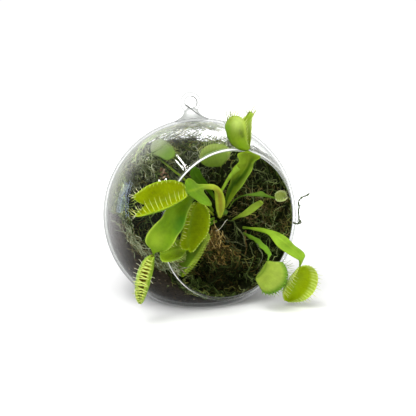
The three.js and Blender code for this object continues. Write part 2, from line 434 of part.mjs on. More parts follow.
function lobeFrames(trap) {
  const H = curve(trap.h.map(V)), A = curve(trap.a.map(V)), B = curve(trap.b.map(V));
  const out = (u, own, other) => {
    const h = H(u), d = own(u).sub(h), e = other(u).sub(h);
    const t = H(Math.min(1, u + 0.02)).sub(H(Math.max(0, u - 0.02)));
    const n = t.cross(d).normalize();
    return n.dot(e) > 0 ? n.negate() : n;
  };
  return { H, A, B, nA: (u) => out(u, A, B), nB: (u) => out(u, B, A) };
}

// Two bulging lobes joined at the hinge, as one thin sheet from margin a to margin b.
function trapSheet(trap, grow, rows, cols) {
  const f = lobeFrames(trap), P = [];
  for (let i = 0; i <= rows; i++) {
    const u = i / rows, row = [];
    const h = f.H(u), a = f.A(u), b = f.B(u), na = f.nA(u), nb = f.nB(u);
    const swell = Math.pow(Math.sin(Math.PI * Math.min(0.98, Math.max(0.02, u))), 0.6);
    for (let j = -cols; j <= cols; j++) {
      const v = Math.abs(j) / cols;
      const [m, n, k] = j < 0 ? [a, na, trap.ba] : [b, nb, trap.bb];
      row.push(h.clone().lerp(m, v).addScaledVector(n, k * swell * 4 * v * (1 - v)));
    }
    P.push(row);
  }
  return sheet(P, () => LOBE_T / 2 + grow);
}

function tooth(p, dir, len) {
  const q = new THREE.Quaternion().setFromUnitVectors(new THREE.Vector3(0, 1, 0), dir);
  const m = M4().compose(p.clone().addScaledVector(dir, len / 2), q, new THREE.Vector3(1, 1, 1));
  return solid(new THREE.CylinderGeometry(TOOTH_TIP_R, TOOTH_R, len, 3, 1), m);
}

// Value at u of a list spread evenly from u = 0 to u = 1.
function profile(list, u) {
  const x = u * (list.length - 1), i = Math.min(list.length - 2, Math.floor(x));
  return list.length === 1 ? list[0] : list[i] + (list[i + 1] - list[i]) * (x - i);
}

function teeth(trap) {
  const f = lobeFrames(trap), list = [];
  const n = Math.max(4, Math.round(trap.nt * TEETH_SHARE));
  for (const [own, other, lens, closes] of [[f.A, f.B, trap.ta, trap.ca], [f.B, f.A, trap.tb, trap.cb]]) {
    for (let k = 0; k < n; k++) {
      const u = 0.08 + 0.84 * (k + (own === f.A ? 0.25 : 0.75)) / n;
      const m = own(u), along = m.clone().sub(f.H(u)).normalize();
      const over = other(u).sub(m).normalize();
      const close = profile(closes, u);
      const dir = along.clone().multiplyScalar(1 - 0.75 * close)
        .addScaledVector(over, 0.2 + 0.7 * close).normalize();
      list.push(tooth(m.addScaledVector(along, -0.6), dir, profile(lens, u) * (0.55 + 0.45 * Math.sin(Math.PI * u)) + 0.6));
    }
  }
  return list;
}

function leaf(spec, grow = 0) {
  const widest = Math.max(...spec.pet.map(([l, , r]) => V(l).distanceTo(V(r))));
  let s = stalk(spec.pet, grow, Math.max(5, spec.pet.length - 1), widest < 4 ? 2 : 4);
  if (spec.trap) {
    s = s.add(trapSheet(spec.trap, grow, 9, 3));
    if (!grow) for (const k of teeth(spec.trap)) s = s.add(k);
  }
  return biggestBody(s);
}

// ---------------------------------------------------------------- glass globe
function glassGlobe() {
  const outer = truncatedGlobe(GLOBE_R, 0, 40, 18);
  const inner = truncatedGlobe(GLOBE_R - WALL, BASE_GLASS, 40, 18);
  const yMouth = -Math.sqrt(GLOBE_R ** 2 - MOUTH_R ** 2);
  const bore = solid(new THREE.CylinderGeometry(MOUTH_R, MOUTH_R, 60, 48), at(0, yMouth - 20, CENTRE_Z));
  const bead = solid(new THREE.TorusGeometry(MOUTH_R + 0.15, RIM_BEAD_R, 6, 48).rotateX(Math.PI / 2),
    at(0, yMouth + 0.5, CENTRE_Z));
  return outer.subtract(inner).subtract(bore).add(bead);
}

// Solid neck on the top of the globe, then the loop of glass rod on it.
function hangingLoop() {
  const top = GLOBE_R - WALL - 0.4;
  const neckPairs = [[0, top - 0.4], [11.6, top - 1.2], [12.4, top - 1], [9.2, top + 1.4], [6.4, top + 2.6], [4.6, top + 4],
    [NECK_R, top + 5.6], [NECK_R + 0.1, top + 7], [2.6, top + 8.4], [0, top + 8.8]];
  const lean = at(0, 0, CENTRE_Z).multiply(M4().makeRotationY(NECK_TILT));
  const neck = solid(lathe(neckPairs, 20), lean);
  const loopC = top + 7.4 + LOOP_MAJOR_R;
  const turn = lean.clone().multiply(at(0, 0, loopC)).multiply(M4().makeRotationZ(LOOP_TURN)).multiply(M4().makeRotationX(Math.PI / 2));
  const loop = solid(new THREE.TorusGeometry(LOOP_MAJOR_R, LOOP_ROD_R, 7, 20), turn);
  // The rod's end is folded over and fused low on the left of the loop.
  const tail = solid(new THREE.CapsuleGeometry(1.15, 4.6, 3, 8),
    turn.clone().multiply(at(-LOOP_MAJOR_R * 0.86, -LOOP_MAJOR_R * 0.72, 0.5)).multiply(M4().makeRotationZ(0.62)));
  return neck.add(loop).add(tail).subtract(truncatedGlobe(GLOBE_R + 0.3, -5, 40, 18));
}

// ---------------------------------------------------------------- soil and moss
// Hollow in front of the plant: a dish turned about the mouth's axis.
function mossDish(grow) {
  const pairs = MOSS_DISH.map(([r, y], i) => [r === 0 ? 0 : r + grow, i < MOSS_DISH.length - 2 ? y + grow : y]);
  const g = new THREE.LatheGeometry(pairs.map(([r, y]) => new THREE.Vector2(r, y)).reverse(), 40);
  return solid(g, at(0, 0, CENTRE_Z));
}

function soilBody(grow = 0) {
  const slope = below(SOIL_Z0 + grow * 1.3, -40, SOIL_RISE_Y, SOIL_RISE_X);
  const cap = box(-90, 90, -90, 90, -1, SOIL_TOP + grow);
  const low = box(-90, 90, -90, 90, -1, SOIL_LOW + grow);
  const room = truncatedGlobe(FILL_R + grow, BASE_GLASS + GAP - grow, 40, 18);
  const bore = solid(new THREE.CylinderGeometry(MOUTH_R + 2 - grow, MOUTH_R + 2 - grow, 60, 48), at(0, -69.2 - grow, CENTRE_Z));
  return room.intersect(slope.intersect(cap).add(low)).subtract(bore).subtract(mossDish(SOIL_COVER - grow));
}

const leafSolids = Object.fromEntries(Object.entries(LEAVES).map(([k, spec]) => [k, leaf(spec)]));

function mossBody() {
  const { y0, z0, rise } = MOSS_SLOPE;
  let m = truncatedGlobe(FILL_R, BASE_GLASS + GAP, 40, 18);
  m = m.intersect(box(-90, 90, MOSS_FRONT, 90, 0, 130));
  m = m.intersect(below(MOSS_TOP.z0, 0, 0, -MOSS_TOP.slope));
  m = m.intersect(below(z0, y0, 1 / rise, 0));
  m = m.subtract(mossDish(0));
  m = m.subtract(soilBody(GAP));
  m = m.subtract(ellipsoid(CROWN, GAP));
  for (const spec of Object.values(LEAVES)) m = m.subtract(leaf({ pet: spec.pet }, GAP));
  return biggestBody(m);
}

function tuftBody() {
  let t = ellipsoid(TUFT, 0, 20, 14);
  const room = truncatedGlobe(FILL_R, BASE_GLASS + GAP, 40, 18);
  t = t.intersect(room).intersect(box(-90, 90, -37, 90, 0, 130));
  t = t.intersect(mossDish(-GAP));
  t = t.subtract(soilBody(GAP));
  for (const spec of Object.values(LEAVES)) t = t.subtract(leaf(spec, GAP));
  return biggestBody(t);
}

// ---------------------------------------------------------------- the assembly
const root = new THREE.Group();

function add(name, man, color, roughness, extra = {}) {
  const material = new THREE.MeshStandardMaterial({ color, roughness, metalness: 0, ...extra });
  const mesh = new THREE.Mesh(geometryOf(man), material);
  mesh.name = name;
  root.add(mesh);
}

add('glass_globe', glassGlobe(), 0xeef3f2, 0.05, { transparent: true, opacity: 0.3 });
add('hanging_loop', hangingLoop(), 0xeef3f2, 0.05, { transparent: true, opacity: 0.3 });
add('potting_soil', biggestBody(soilBody()), 0x3c3733, 0.95);
add('moss_bed', mossBody(), 0x3a4324, 0.95);
add('dry_moss_tuft', tuftBody(), 0x5c4826, 0.95);
add('rosette_crown', ellipsoid(CROWN, 0, 12, 8), 0x6f8a2c, 0.6);

const LEAF_COLOURS = {
  leaf_low_left: 0x86b024, leaf_left: 0x93ad20, leaf_centre: 0x7a9614, leaf_lower_front: 0x6f9a2c,
  leaf_lower_inner: 0x5f8c20, leaf_top: 0x8cb03a, leaf_right_long: 0x93b82c, leaf_right_short: 0xa6c45a,
  leaf_right_small: 0x7c9a48, leaf_young: 0x8aa83c, leaf_inner_left: 0x3f7a10, leaf_back_left: 0x8fa468,
  leaf_back_top: 0x8a9e58,
};
for (const [name, man] of Object.entries(leafSolids)) add(name, man, LEAF_COLOURS[name], 0.45);

export default root;
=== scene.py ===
import math

import bpy
import numpy as np
from mathutils import Matrix, Vector
from mathutils.bvhtree import BVHTree


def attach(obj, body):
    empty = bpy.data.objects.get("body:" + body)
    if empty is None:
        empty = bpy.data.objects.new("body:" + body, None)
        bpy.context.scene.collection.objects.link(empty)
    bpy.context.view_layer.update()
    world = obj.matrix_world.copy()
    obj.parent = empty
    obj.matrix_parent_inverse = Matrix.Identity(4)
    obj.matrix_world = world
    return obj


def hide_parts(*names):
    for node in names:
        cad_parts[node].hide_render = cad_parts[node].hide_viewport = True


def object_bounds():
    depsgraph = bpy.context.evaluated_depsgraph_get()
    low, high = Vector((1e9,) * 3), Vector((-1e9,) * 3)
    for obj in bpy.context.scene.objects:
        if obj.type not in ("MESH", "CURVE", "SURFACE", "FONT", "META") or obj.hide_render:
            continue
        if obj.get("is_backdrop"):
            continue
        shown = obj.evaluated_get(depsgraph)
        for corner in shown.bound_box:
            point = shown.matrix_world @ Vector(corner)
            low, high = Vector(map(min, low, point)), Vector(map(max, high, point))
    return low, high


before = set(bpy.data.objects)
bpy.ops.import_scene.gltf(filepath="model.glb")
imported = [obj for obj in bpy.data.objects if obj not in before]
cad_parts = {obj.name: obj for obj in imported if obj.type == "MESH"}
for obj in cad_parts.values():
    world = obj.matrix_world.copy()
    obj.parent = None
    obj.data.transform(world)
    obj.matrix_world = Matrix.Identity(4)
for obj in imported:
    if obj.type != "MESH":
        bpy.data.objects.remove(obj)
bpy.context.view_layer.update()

MM = 0.001
CENTRE = np.array([0.0, 0.0, 51.5])   # middle of the globe, mm
GLOBE_R, WALL = 60.0, 1.8
MOUTH_R = 44.3
INNER_R = GLOBE_R - WALL
FILL_MAX_R = 58.05                     # nothing inside the globe goes past this radius

scene = bpy.context.scene

# ------------------------------------------------------------------ camera
AZ, EL, DIST = math.radians(-28.0), math.radians(10.5), 0.5
back = np.array([math.sin(AZ) * math.cos(EL), -math.cos(AZ) * math.cos(EL), math.sin(EL)])
right = np.array([math.cos(AZ), math.sin(AZ), 0.0])
up = np.cross(back, right)
FOCAL_PX = 797.53
cam_pos = CENTRE * MM + back * DIST - right * ((199.7 - 208) / FOCAL_PX * DIST) - up * (-(214 - 208) / FOCAL_PX * DIST)
cam_data = bpy.data.cameras.new("camera")
cam_data.sensor_width = 36.0
cam_data.lens = FOCAL_PX * 36.0 / 416.0
cam_data.clip_start = 0.02
cam_data.clip_end = 20.0
cam = bpy.data.objects.new("camera", cam_data)
cam.matrix_world = Matrix((
    (right[0], up[0], back[0], cam_pos[0]),
    (right[1], up[1], back[1], cam_pos[1]),
    (right[2], up[2], back[2], cam_pos[2]),
    (0, 0, 0, 1)))
scene.collection.objects.link(cam)
scene.camera = cam


def seen_at(px, py, depth):
    """Point in mm that the camera sees at this place of the picture, depth mm nearer than the globe's middle."""
    d = DIST / MM - depth
    p = cam_pos / MM
    return p + right * ((px - 208) / FOCAL_PX * d) + up * (-(py - 208) / FOCAL_PX * d) - back * d


# ------------------------------------------------------------------ small helpers
def srgb(r, g, b):
    out = []
    for c in (r, g, b):
        c = c / 255.0
        out.append(c / 12.92 if c <= 0.04045 else ((c + 0.055) / 1.055) ** 2.4)
    return np.array(out)


def new_object(name, V, quads=None, tris=None, tint=None, vec=None, smooth=True):
    """Mesh object from arrays in mm. tint is linear RGB per vertex, vec a 3-vector per vertex."""
    me = bpy.data.meshes.new(name)
    quads = np.zeros((0, 4), int) if quads is None else np.asarray(quads, int)
    tris = np.zeros((0, 3), int) if tris is None else np.asarray(tris, int)
    me.vertices.add(len(V))
    me.vertices.foreach_set("co", (np.asarray(V, float) * MM).ravel())
    loops = np.concatenate([quads.ravel(), tris.ravel()])
    me.loops.add(len(loops))
    me.loops.foreach_set("vertex_index", loops)
    starts = np.concatenate([np.arange(len(quads)) * 4, len(quads) * 4 + np.arange(len(tris)) * 3])
    me.polygons.add(len(starts))
    me.polygons.foreach_set("loop_start", starts)
    me.update(calc_edges=True)
    if tint is not None:
        rgba = np.ones((len(V), 4))
        rgba[:, :3] = np.clip(tint, 0, 1)
        me.color_attributes.new("Tint", "FLOAT_COLOR", "POINT").data.foreach_set("color", rgba.ravel())
    if vec is not None:
        me.attributes.new("Place", "FLOAT_VECTOR", "POINT").data.foreach_set("vector", np.asarray(vec, float).ravel())
    me.polygons.foreach_set("use_smooth", np.full(len(starts), smooth))
    me.validate()
    ob = bpy.data.objects.new(name, me)
    scene.collection.objects.link(ob)
    return ob


class Parts:
    """Collects grids and tubes that become one mesh."""

    def __init__(self):
        self.V, self.Q, self.T, self.C, self.P, self.n = [], [], [], [], [], 0

    def add(self, V, quads=None, tris=None, tint=None, place=None):
        V = np.asarray(V, float).reshape(-1, 3)
        self.V.append(V)
        if quads is not None and len(quads):
            self.Q.append(np.asarray(quads, int) + self.n)
        if tris is not None and len(tris):
            self.T.append(np.asarray(tris, int) + self.n)
        self.C.append(np.broadcast_to(np.asarray(tint, float), (len(V), 3)) if tint is not None else np.ones((len(V), 3)))
        self.P.append(np.broadcast_to(np.asarray(place, float), (len(V), 3)) if place is not None else np.zeros((len(V), 3)))
        self.n += len(V)

    def build(self, name, smooth=True):
        return new_object(name, np.concatenate(self.V), np.concatenate(self.Q) if self.Q else None,
                          np.concatenate(self.T) if self.T else None, np.concatenate(self.C), np.concatenate(self.P), smooth)


def unit(v):
    v = np.asarray(v, float)
    return v / np.maximum(np.linalg.norm(v, axis=-1, keepdims=True), 1e-9)


def knots(P):
    d = np.maximum(np.linalg.norm(np.diff(P, axis=0), axis=1), 1e-3)
    k = np.concatenate([[0], np.cumsum(d)])
    return k / k[-1]


def curve(P, ks=None):
    """Smooth curve through points at the knots: cubic Hermite with finite-difference slopes, as in the solids."""
    P = np.asarray(P, float)
    ks = knots(P) if ks is None else ks
    n = len(P)
    a = np.maximum(0, np.arange(n) - 1)
    b = np.minimum(n - 1, np.arange(n) + 1)
    S = (P[b] - P[a]) / (ks[b] - ks[a])[:, None]

    def f(t):
        t = np.atleast_1d(np.asarray(t, float))
        i = np.clip(np.searchsorted(ks, t, side="left") - 1, 0, n - 2)
        h = ks[i + 1] - ks[i]
        s = ((t - ks[i]) / h)[:, None]
        h = h[:, None]
        s2, s3 = s * s, s * s * s
        return (P[i] * (2 * s3 - 3 * s2 + 1) + S[i] * h * (s3 - 2 * s2 + s)
                + P[i + 1] * (3 * s2 - 2 * s3) + S[i + 1] * h * (s3 - s2))
    return f


def grid_normals(P):
    du = np.gradient(P, axis=0)
    dv = np.gradient(P, axis=1)
    return unit(np.cross(du, dv))


def closed_sheet(P, top, bottom):
    """Closed thin body round the grid P; top and bottom are offsets along the grid's normal."""
    nu, nv = P.shape[:2]
    N = grid_normals(P)
    A = P + N * top[..., None]
    B = P - N * bottom[..., None]
    V = np.concatenate([A.reshape(-1, 3), B.reshape(-1, 3)])
    idx = np.arange(nu * nv).reshape(nu, nv)
    o = nu * nv
    a, b, c, d = idx[:-1, :-1], idx[1:, :-1], idx[1:, 1:], idx[:-1, 1:]
    q = [np.stack([a, b, c, d], -1).reshape(-1, 4), np.stack([a, d, c, b], -1).reshape(-1, 4) + o]
    e = idx[:, 0]
    q.append(np.stack([e[:-1], e[:-1] + o, e[1:] + o, e[1:]], -1))
    e = idx[:, -1]
    q.append(np.stack([e[1:], e[1:] + o, e[:-1] + o, e[:-1]], -1))
    e = idx[0, :]
    q.append(np.stack([e[1:], e[1:] + o, e[:-1] + o, e[:-1]], -1))
    e = idx[-1, :]
    q.append(np.stack([e[:-1], e[:-1] + o, e[1:] + o, e[1:]], -1))
    return V, np.concatenate(q)


def tubes(paths, radii, sides=4, flat=1.0, up_hint=None, roll=None):
    """Closed tapered tubes. paths (N, K, 3), radii (N, K). Returns vertices, quads and tris."""
    N, K, _ = paths.shape
    T = unit(np.gradient(paths, axis=1))
    hint = np.array([0.31, 0.17, 0.93]) if up_hint is None else up_hint
    hint = np.broadcast_to(hint, (N, 3))[:, None, :]
    X = np.cross(T, hint)
    bad = np.linalg.norm(X, axis=-1, keepdims=True) < 0.2
    X = np.where(bad, np.cross(T, np.array([0.9, -0.3, 0.1])), X)
    X = unit(X)
    Y = np.cross(T, X)
    ang = np.arange(sides) * 2 * math.pi / sides
    if roll is not None:
        ang = ang[None, :] + roll[:, None]
        c, s = np.cos(ang)[:, None, :, None], np.sin(ang)[:, None, :, None]
    else:
        c, s = np.cos(ang)[None, None, :, None], np.sin(ang)[None, None, :, None]
    R = paths[:, :, None, :] + (X[:, :, None, :] * c + Y[:, :, None, :] * s * flat) * radii[:, :, None, None]
    V = R.reshape(-1, 3)
    base = (np.arange(N) * K * sides)[:, None, None]
    ring = (np.arange(K - 1) * sides)[None, :, None]
    j = np.arange(sides)[None, None, :]
    j2 = (j + 1) % sides
    a = base + ring + j
    b = base + ring + j2
    Q = np.stack([a, b, b + sides, a + sides], -1).reshape(-1, 4)
    tr = []
    for k in range(1, sides - 1):
        s0 = (np.arange(N) * K * sides)
        tr.append(np.stack([s0, s0 + k + 1, s0 + k], -1))
        e0 = s0 + (K - 1) * sides
        tr.append(np.stack([e0, e0 + k, e0 + k + 1], -1))
    return V, Q, np.concatenate(tr)


def smooth01(x):
    x = np.clip(x, 0, 1)
    return x * x * (3 - 2 * x)


def value_noise(P, scale, seed=0):
    """Smooth lattice noise in [-1, 1] at points P (n, 3), cell size 1/scale."""
    p = np.asarray(P, float) * scale
    i = np.floor(p).astype(np.int64)
    f = p - i
    f = f * f * (3 - 2 * f)
    out = 0
    for dx in (0, 1):
        for dy in (0, 1):
            for dz in (0, 1):
                h = ((i[:, 0] + dx) * 73856093) ^ ((i[:, 1] + dy) * 19349663) ^ ((i[:, 2] + dz) * 83492791) ^ (seed * 2654435761)
                h = (h ^ (h >> 13)) * 1274126177
                r = ((h ^ (h >> 16)) & 0xFFFF) / 32767.5 - 1.0
                w = (f[:, 0] if dx else 1 - f[:, 0]) * (f[:, 1] if dy else 1 - f[:, 1]) * (f[:, 2] if dz else 1 - f[:, 2])
                out = out + w * r
    return out


# ------------------------------------------------------------------ leaves: control points in mm, the same as the solids'
LEAVES = {
    'leaf_low_left': {
        'pet': [
          [[1.6,-14.1,56.8],[1.9,-13.9,55.9],[1.9,-14.6,55.2]],
          [[-12.4,-29.4,66.8],[-11.7,-29.4,65.6],[-11.5,-30.3,64.6]],
          [[-24.3,-38.7,72.2],[-23.0,-39.2,70.5],[-22.5,-40.3,69.2]],
          [[-31.8,-43.5,70.9],[-29.5,-43.9,69.3],[-27.8,-45.5,69.1]],
          [[-39.1,-45.4,68.2],[-34.5,-45.9,66.4],[-30.8,-48.4,66.8]],
          [[-44.6,-47.0,66.1],[-39.0,-47.5,63.7],[-33.5,-51.0,64.1]],
          [[-48.5,-48.5,62.2],[-42.0,-48.6,59.4],[-35.6,-52.8,61.2]],
          [[-53.1,-48.1,58.2],[-45.0,-49.1,55.0],[-37.7,-53.7,56.9]],
          [[-56.4,-46.8,53.3],[-48.2,-48.2,50.7],[-40.9,-53.0,52.2]],
          [[-57.0,-45.6,49.2],[-50.3,-47.2,47.1],[-43.2,-52.1,47.7]],
          [[-55.4,-45.3,46.4],[-51.4,-46.2,44.6],[-46.7,-50.0,43.5]],
          [[-53.0,-44.8,44.1],[-51.7,-45.1,42.7],[-50.4,-46.2,42.9]],
          [[-51.9,-43.7,41.2],[-51.4,-43.8,41.0],[-51.0,-44.2,40.9]],
          [[-51.4,-42.2,39.6],[-50.9,-42.2,39.4],[-50.6,-42.7,39.3]],
        ],
        'trap': {
          'h': [[-51.1,-42.6,40.0],[-49.9,-35.3,33.9],[-50.4,-32.3,28.0],[-51.3,-31.2,22.6],[-52.9,-32.1,17.1],[-55.1,-34.6,13.1],[-56.8,-36.9,11.8]],
          'a': [[-53.0,-43.3,40.0],[-56.2,-44.3,38.0],[-58.5,-44.9,34.9],[-60.3,-45.4,31.3],[-61.4,-45.2,26.3],[-61.5,-44.0,20.9],[-60.3,-41.6,16.0],[-58.3,-38.8,12.3]],
          'b': [[-51.6,-44.2,39.8],[-53.5,-45.4,37.4],[-55.2,-46.4,33.7],[-57.0,-47.0,29.2],[-58.3,-46.7,24.5],[-58.9,-45.0,19.8],[-58.8,-42.5,15.5],[-57.8,-39.2,12.2]],
          'ba': 3.2, 'bb': 2.6, 'nt': 9, 'ta': [3.0, 5.0, 5.4, 5.0, 2.4], 'tb': [3.0, 5.0, 5.4, 5.0, 2.4], 'ca': [0.9], 'cb': [0.9],
        },
    },
    'leaf_left': {
        'pet': [
          [[3.4,-17.1,52.6],[4.9,-17.0,51.7],[5.5,-18.4,52.1]],
          [[0.2,-20.9,59.3],[3.3,-20.5,58.1],[4.9,-23.5,59.0]],
          [[-3.4,-26.2,66.2],[-0.3,-26.3,65.1],[1.6,-28.9,66.0]],
          [[-6.7,-31.5,71.0],[-4.3,-31.7,70.5],[-2.8,-33.5,71.4]],
          [[-12.0,-36.9,73.2],[-11.4,-38.0,74.8],[-10.0,-37.9,76.0]],
          [[-18.8,-41.7,74.2],[-19.4,-42.7,76.2],[-19.1,-42.0,77.6]],
          [[-19.9,-45.0,72.0],[-24.1,-45.9,76.2],[-25.1,-44.9,78.7]],
          [[-18.3,-47.7,68.4],[-26.7,-47.5,76.0],[-28.1,-46.3,80.7]],
          [[-18.7,-49.8,66.2],[-29.2,-49.0,75.9],[-30.9,-47.3,82.4]],
          [[-24.0,-50.7,67.4],[-31.3,-49.7,75.8],[-33.0,-48.1,82.1]],
          [[-29.0,-50.8,71.0],[-32.6,-49.7,75.6],[-34.3,-48.4,79.6]],
          [[-32.7,-50.1,73.7],[-33.5,-49.6,75.4],[-34.4,-48.9,77.3]],
          [[-34.2,-49.5,74.8],[-34.2,-49.4,75.4],[-34.3,-49.2,75.9]],
        ],
        'trap': {
          'h': [[-34.1,-49.4,75.4],[-37.8,-44.6,72.6],[-42.9,-41.0,70.1],[-48.4,-38.5,68.3],[-53.6,-37.2,67.6]],
          'a': [[-34.9,-49.9,76.4],[-36.5,-51.8,79.9],[-40.9,-51.9,82.1],[-45.4,-50.6,82.6],[-50.9,-48.4,81.8],[-55.6,-45.7,79.5],[-59.3,-43.3,76.5],[-61.7,-41.4,73.7],[-59.2,-39.3,70.9],[-54.8,-38.0,68.3]],
          'b': [[-34.3,-50.6,74.7],[-35.8,-54.0,73.9],[-41.4,-56.1,71.9],[-46.9,-56.4,69.9],[-52.1,-55.2,68.0],[-57.1,-52.5,66.2],[-60.8,-49.0,64.5],[-63.0,-45.7,63.7],[-59.4,-42.0,65.3],[-54.7,-38.6,67.3]],
          'ba': 2.6, 'bb': 2.6, 'nt': 17, 'ta': [1.4, 1.3, 1.4, 2.2, 4.6], 'tb': [4.4, 6.4, 7.0, 6.0, 5.0], 'ca': [0.8, 0.8, 0.8, 0.5, 0.1], 'cb': [0.85, 0.85, 0.8, 0.6, 0.1],
        },
    },
    'leaf_centre': {
        'pet': [
          [[3.1,-11.1,53.6],[3.5,-11.0,52.8],[3.5,-11.6,52.0]],
          [[-6.3,-22.6,59.5],[-5.9,-22.6,58.4],[-5.9,-23.3,57.6]],
          [[-15.9,-34.3,64.9],[-15.5,-34.1,64.0],[-15.5,-34.8,63.3]],
          [[-22.5,-41.6,67.5],[-22.2,-41.4,66.8],[-22.3,-42.0,66.2]],
          [[-24.1,-42.8,67.8],[-24.0,-42.9,67.3],[-24.0,-43.1,66.9]],
        ],
        'trap': {
          'h': [[-24.2,-42.9,67.1],[-24.2,-38.4,62.3],[-24.9,-36.7,56.5],[-26.4,-37.2,50.3],[-28.9,-40.6,45.1],[-30.8,-45.6,41.6]],
          'a': [[-25.4,-43.6,68.3],[-29.0,-45.9,66.9],[-32.0,-47.9,64.0],[-34.1,-49.2,59.9],[-35.6,-49.9,55.1],[-36.6,-49.4,50.6],[-37.3,-47.6,46.5],[-36.0,-46.8,43.7],[-33.1,-46.8,42.1]],
          'b': [[-23.8,-44.4,67.3],[-22.8,-48.0,67.0],[-21.8,-51.2,65.0],[-21.4,-53.3,61.6],[-21.8,-54.1,57.9],[-22.6,-54.3,53.8],[-24.3,-53.8,49.9],[-27.0,-52.2,46.2],[-29.0,-49.9,42.3],[-30.2,-47.1,40.3]],
          'ba': 2.4, 'bb': 2.6, 'nt': 17, 'ta': [4.6], 'tb': [4.6], 'ca': [0.35], 'cb': [0.35],
        },
    },
    'leaf_lower_front': {
        'pet': [
          [[3.8,-10.8,51.2],[4.3,-10.8,50.4],[4.4,-11.5,49.8]],
          [[-8.9,-20.9,50.3],[-8.3,-20.9,49.4],[-8.1,-21.6,48.7]],
          [[-19.6,-30.0,45.8],[-19.0,-30.0,44.9],[-18.8,-30.7,44.3]],
          [[-26.5,-35.7,42.5],[-26.0,-35.8,41.8],[-25.8,-36.4,41.2]],
          [[-28.1,-36.7,42.0],[-27.9,-36.8,41.6],[-27.9,-37.0,41.1]],
        ],
        'trap': {
          'h': [[-27.7,-36.5,41.3],[-31.5,-37.5,41.1],[-37.7,-39.9,41.3],[-43.4,-42.6,41.3],[-47.6,-44.6,41.2]],
          'a': [[-27.4,-37.0,40.5],[-29.6,-38.1,37.7],[-34.1,-43.1,37.3],[-39.0,-47.0,37.2],[-43.4,-48.6,37.1],[-46.6,-49.0,37.2],[-48.4,-48.3,37.9],[-48.8,-46.6,39.7]],
          'b': [[-29.1,-37.4,43.1],[-33.0,-39.8,46.0],[-37.5,-42.2,47.4],[-42.2,-44.1,47.3],[-45.6,-44.9,45.8],[-47.6,-45.3,43.5],[-48.0,-45.1,42.1]],
          'ba': 1.6, 'bb': 1.4, 'nt': 17, 'ta': [3.4, 3.2, 2.4, 2.0, 1.8], 'tb': [2.4], 'ca': [0.1], 'cb': [0.1],
        },
    },
    'leaf_lower_inner': {
        'pet': [
          [[5.2,-10.9,49.1],[5.8,-10.9,48.4],[6.2,-11.6,47.9]],
          [[-2.1,-16.1,48.7],[-1.5,-16.1,47.9],[-1.4,-16.8,47.2]],
          [[-9.7,-23.5,46.8],[-9.2,-23.5,46.0],[-9.0,-24.2,45.4]],
          [[-15.5,-29.2,45.2],[-15.0,-29.3,44.6],[-14.8,-29.9,44.1]],
          [[-16.6,-30.3,44.8],[-16.3,-30.4,44.4],[-16.1,-30.7,44.1]],
        ],
        'trap': {
          'h': [[-16.2,-30.4,44.5],[-21.2,-29.2,39.9],[-26.0,-28.2,35.4],[-29.1,-28.7,30.8],[-29.7,-30.7,26.2],[-29.1,-33.1,23.1]],
          'a': [[-16.4,-33.0,44.6],[-15.9,-38.6,44.5],[-19.3,-41.8,41.4],[-22.3,-42.9,37.5],[-25.5,-42.5,33.3],[-28.0,-40.4,29.6],[-29.4,-37.6,26.3],[-29.6,-35.0,23.5]],
          'b': [[-14.7,-30.4,45.1],[-10.7,-30.9,46.2],[-9.2,-30.9,43.4],[-10.9,-29.9,39.3],[-13.1,-29.5,34.6],[-16.3,-29.3,29.7],[-20.3,-29.8,25.9],[-24.5,-30.9,23.4],[-27.7,-32.4,22.2]],
          'ba': 2.4, 'bb': 2.2, 'nt': 19, 'ta': [1.4], 'tb': [1.6], 'ca': [0.6], 'cb': [0.6],
        },
    },
    'leaf_top': {
        'pet': [
          [[10.3,-12.3,57.2],[11.3,-12.3,56.6],[11.7,-13.3,56.5]],
          [[5.3,-19.7,66.3],[10.3,-18.0,63.2],[10.9,-20.8,62.4]],
          [[2.3,-26.5,73.5],[10.4,-22.4,69.7],[11.4,-27.1,68.7]],
          [[2.3,-32.8,80.2],[11.0,-27.0,75.8],[12.6,-32.6,74.4]],
          [[2.7,-38.2,85.0],[11.2,-32.5,80.7],[12.8,-37.8,79.5]],
          [[3.0,-42.4,88.7],[10.7,-38.2,85.5],[12.2,-43.1,85.5]],
          [[2.3,-44.1,90.9],[9.6,-42.2,88.9],[11.3,-46.6,88.7]],
          [[1.0,-45.4,93.5],[8.1,-45.3,92.1],[12.1,-52.0,92.2]],
          [[3.4,-47.5,95.0],[6.9,-47.7,94.3],[8.9,-50.7,93.8]],
          [[5.6,-48.5,95.7],[6.1,-48.7,95.5],[6.6,-49.1,95.4]],
        ],
        'trap': {
          'h': [[6.2,-48.5,96.3],[4.1,-44.0,96.2],[1.3,-39.7,98.6],[-0.6,-37.2,103.2],[-1.5,-36.9,107.8]],
          'a': [[5.7,-49.6,97.5],[3.6,-51.2,102.2],[2.5,-51.8,107.4],[2.7,-50.4,112.1],[1.5,-46.9,115.0],[-0.5,-42.8,115.4],[-1.9,-39.5,113.2],[-2.3,-37.9,109.8]],
          'b': [[7.4,-47.6,97.2],[9.2,-45.5,102.6],[10.6,-43.8,108.7],[11.4,-42.8,113.5],[12.4,-42.7,116.2],[11.3,-41.2,117.5],[10.2,-39.9,115.6],[7.5,-38.1,112.8],[3.1,-35.8,111.5],[-0.4,-35.6,109.1]],
          'ba': 3.6, 'bb': 2.2, 'nt': 17, 'ta': [2, 1.8, 2.2, 6, 6.4], 'tb': [2.4, 3, 4.4, 3, 1.6], 'ca': [0.9, 0.9, 0.7, 0, 0], 'cb': [0.5, 0.3, -0.1, 0.1, 0.6],
        },
    },
    'leaf_right_long': {
        'pet': [
          [[23.6,-12.2,42.0],[24.1,-11.7,42.6],[24.0,-12.1,43.6]],
          [[24.0,-20.8,43.2],[24.3,-20.3,43.8],[24.1,-20.6,44.5]],
          [[25.2,-30.7,43.5],[26.0,-30.1,44.4],[26.1,-30.5,45.8]],
          [[26.1,-38.2,43.3],[27.8,-37.7,44.3],[28.8,-38.4,45.5]],
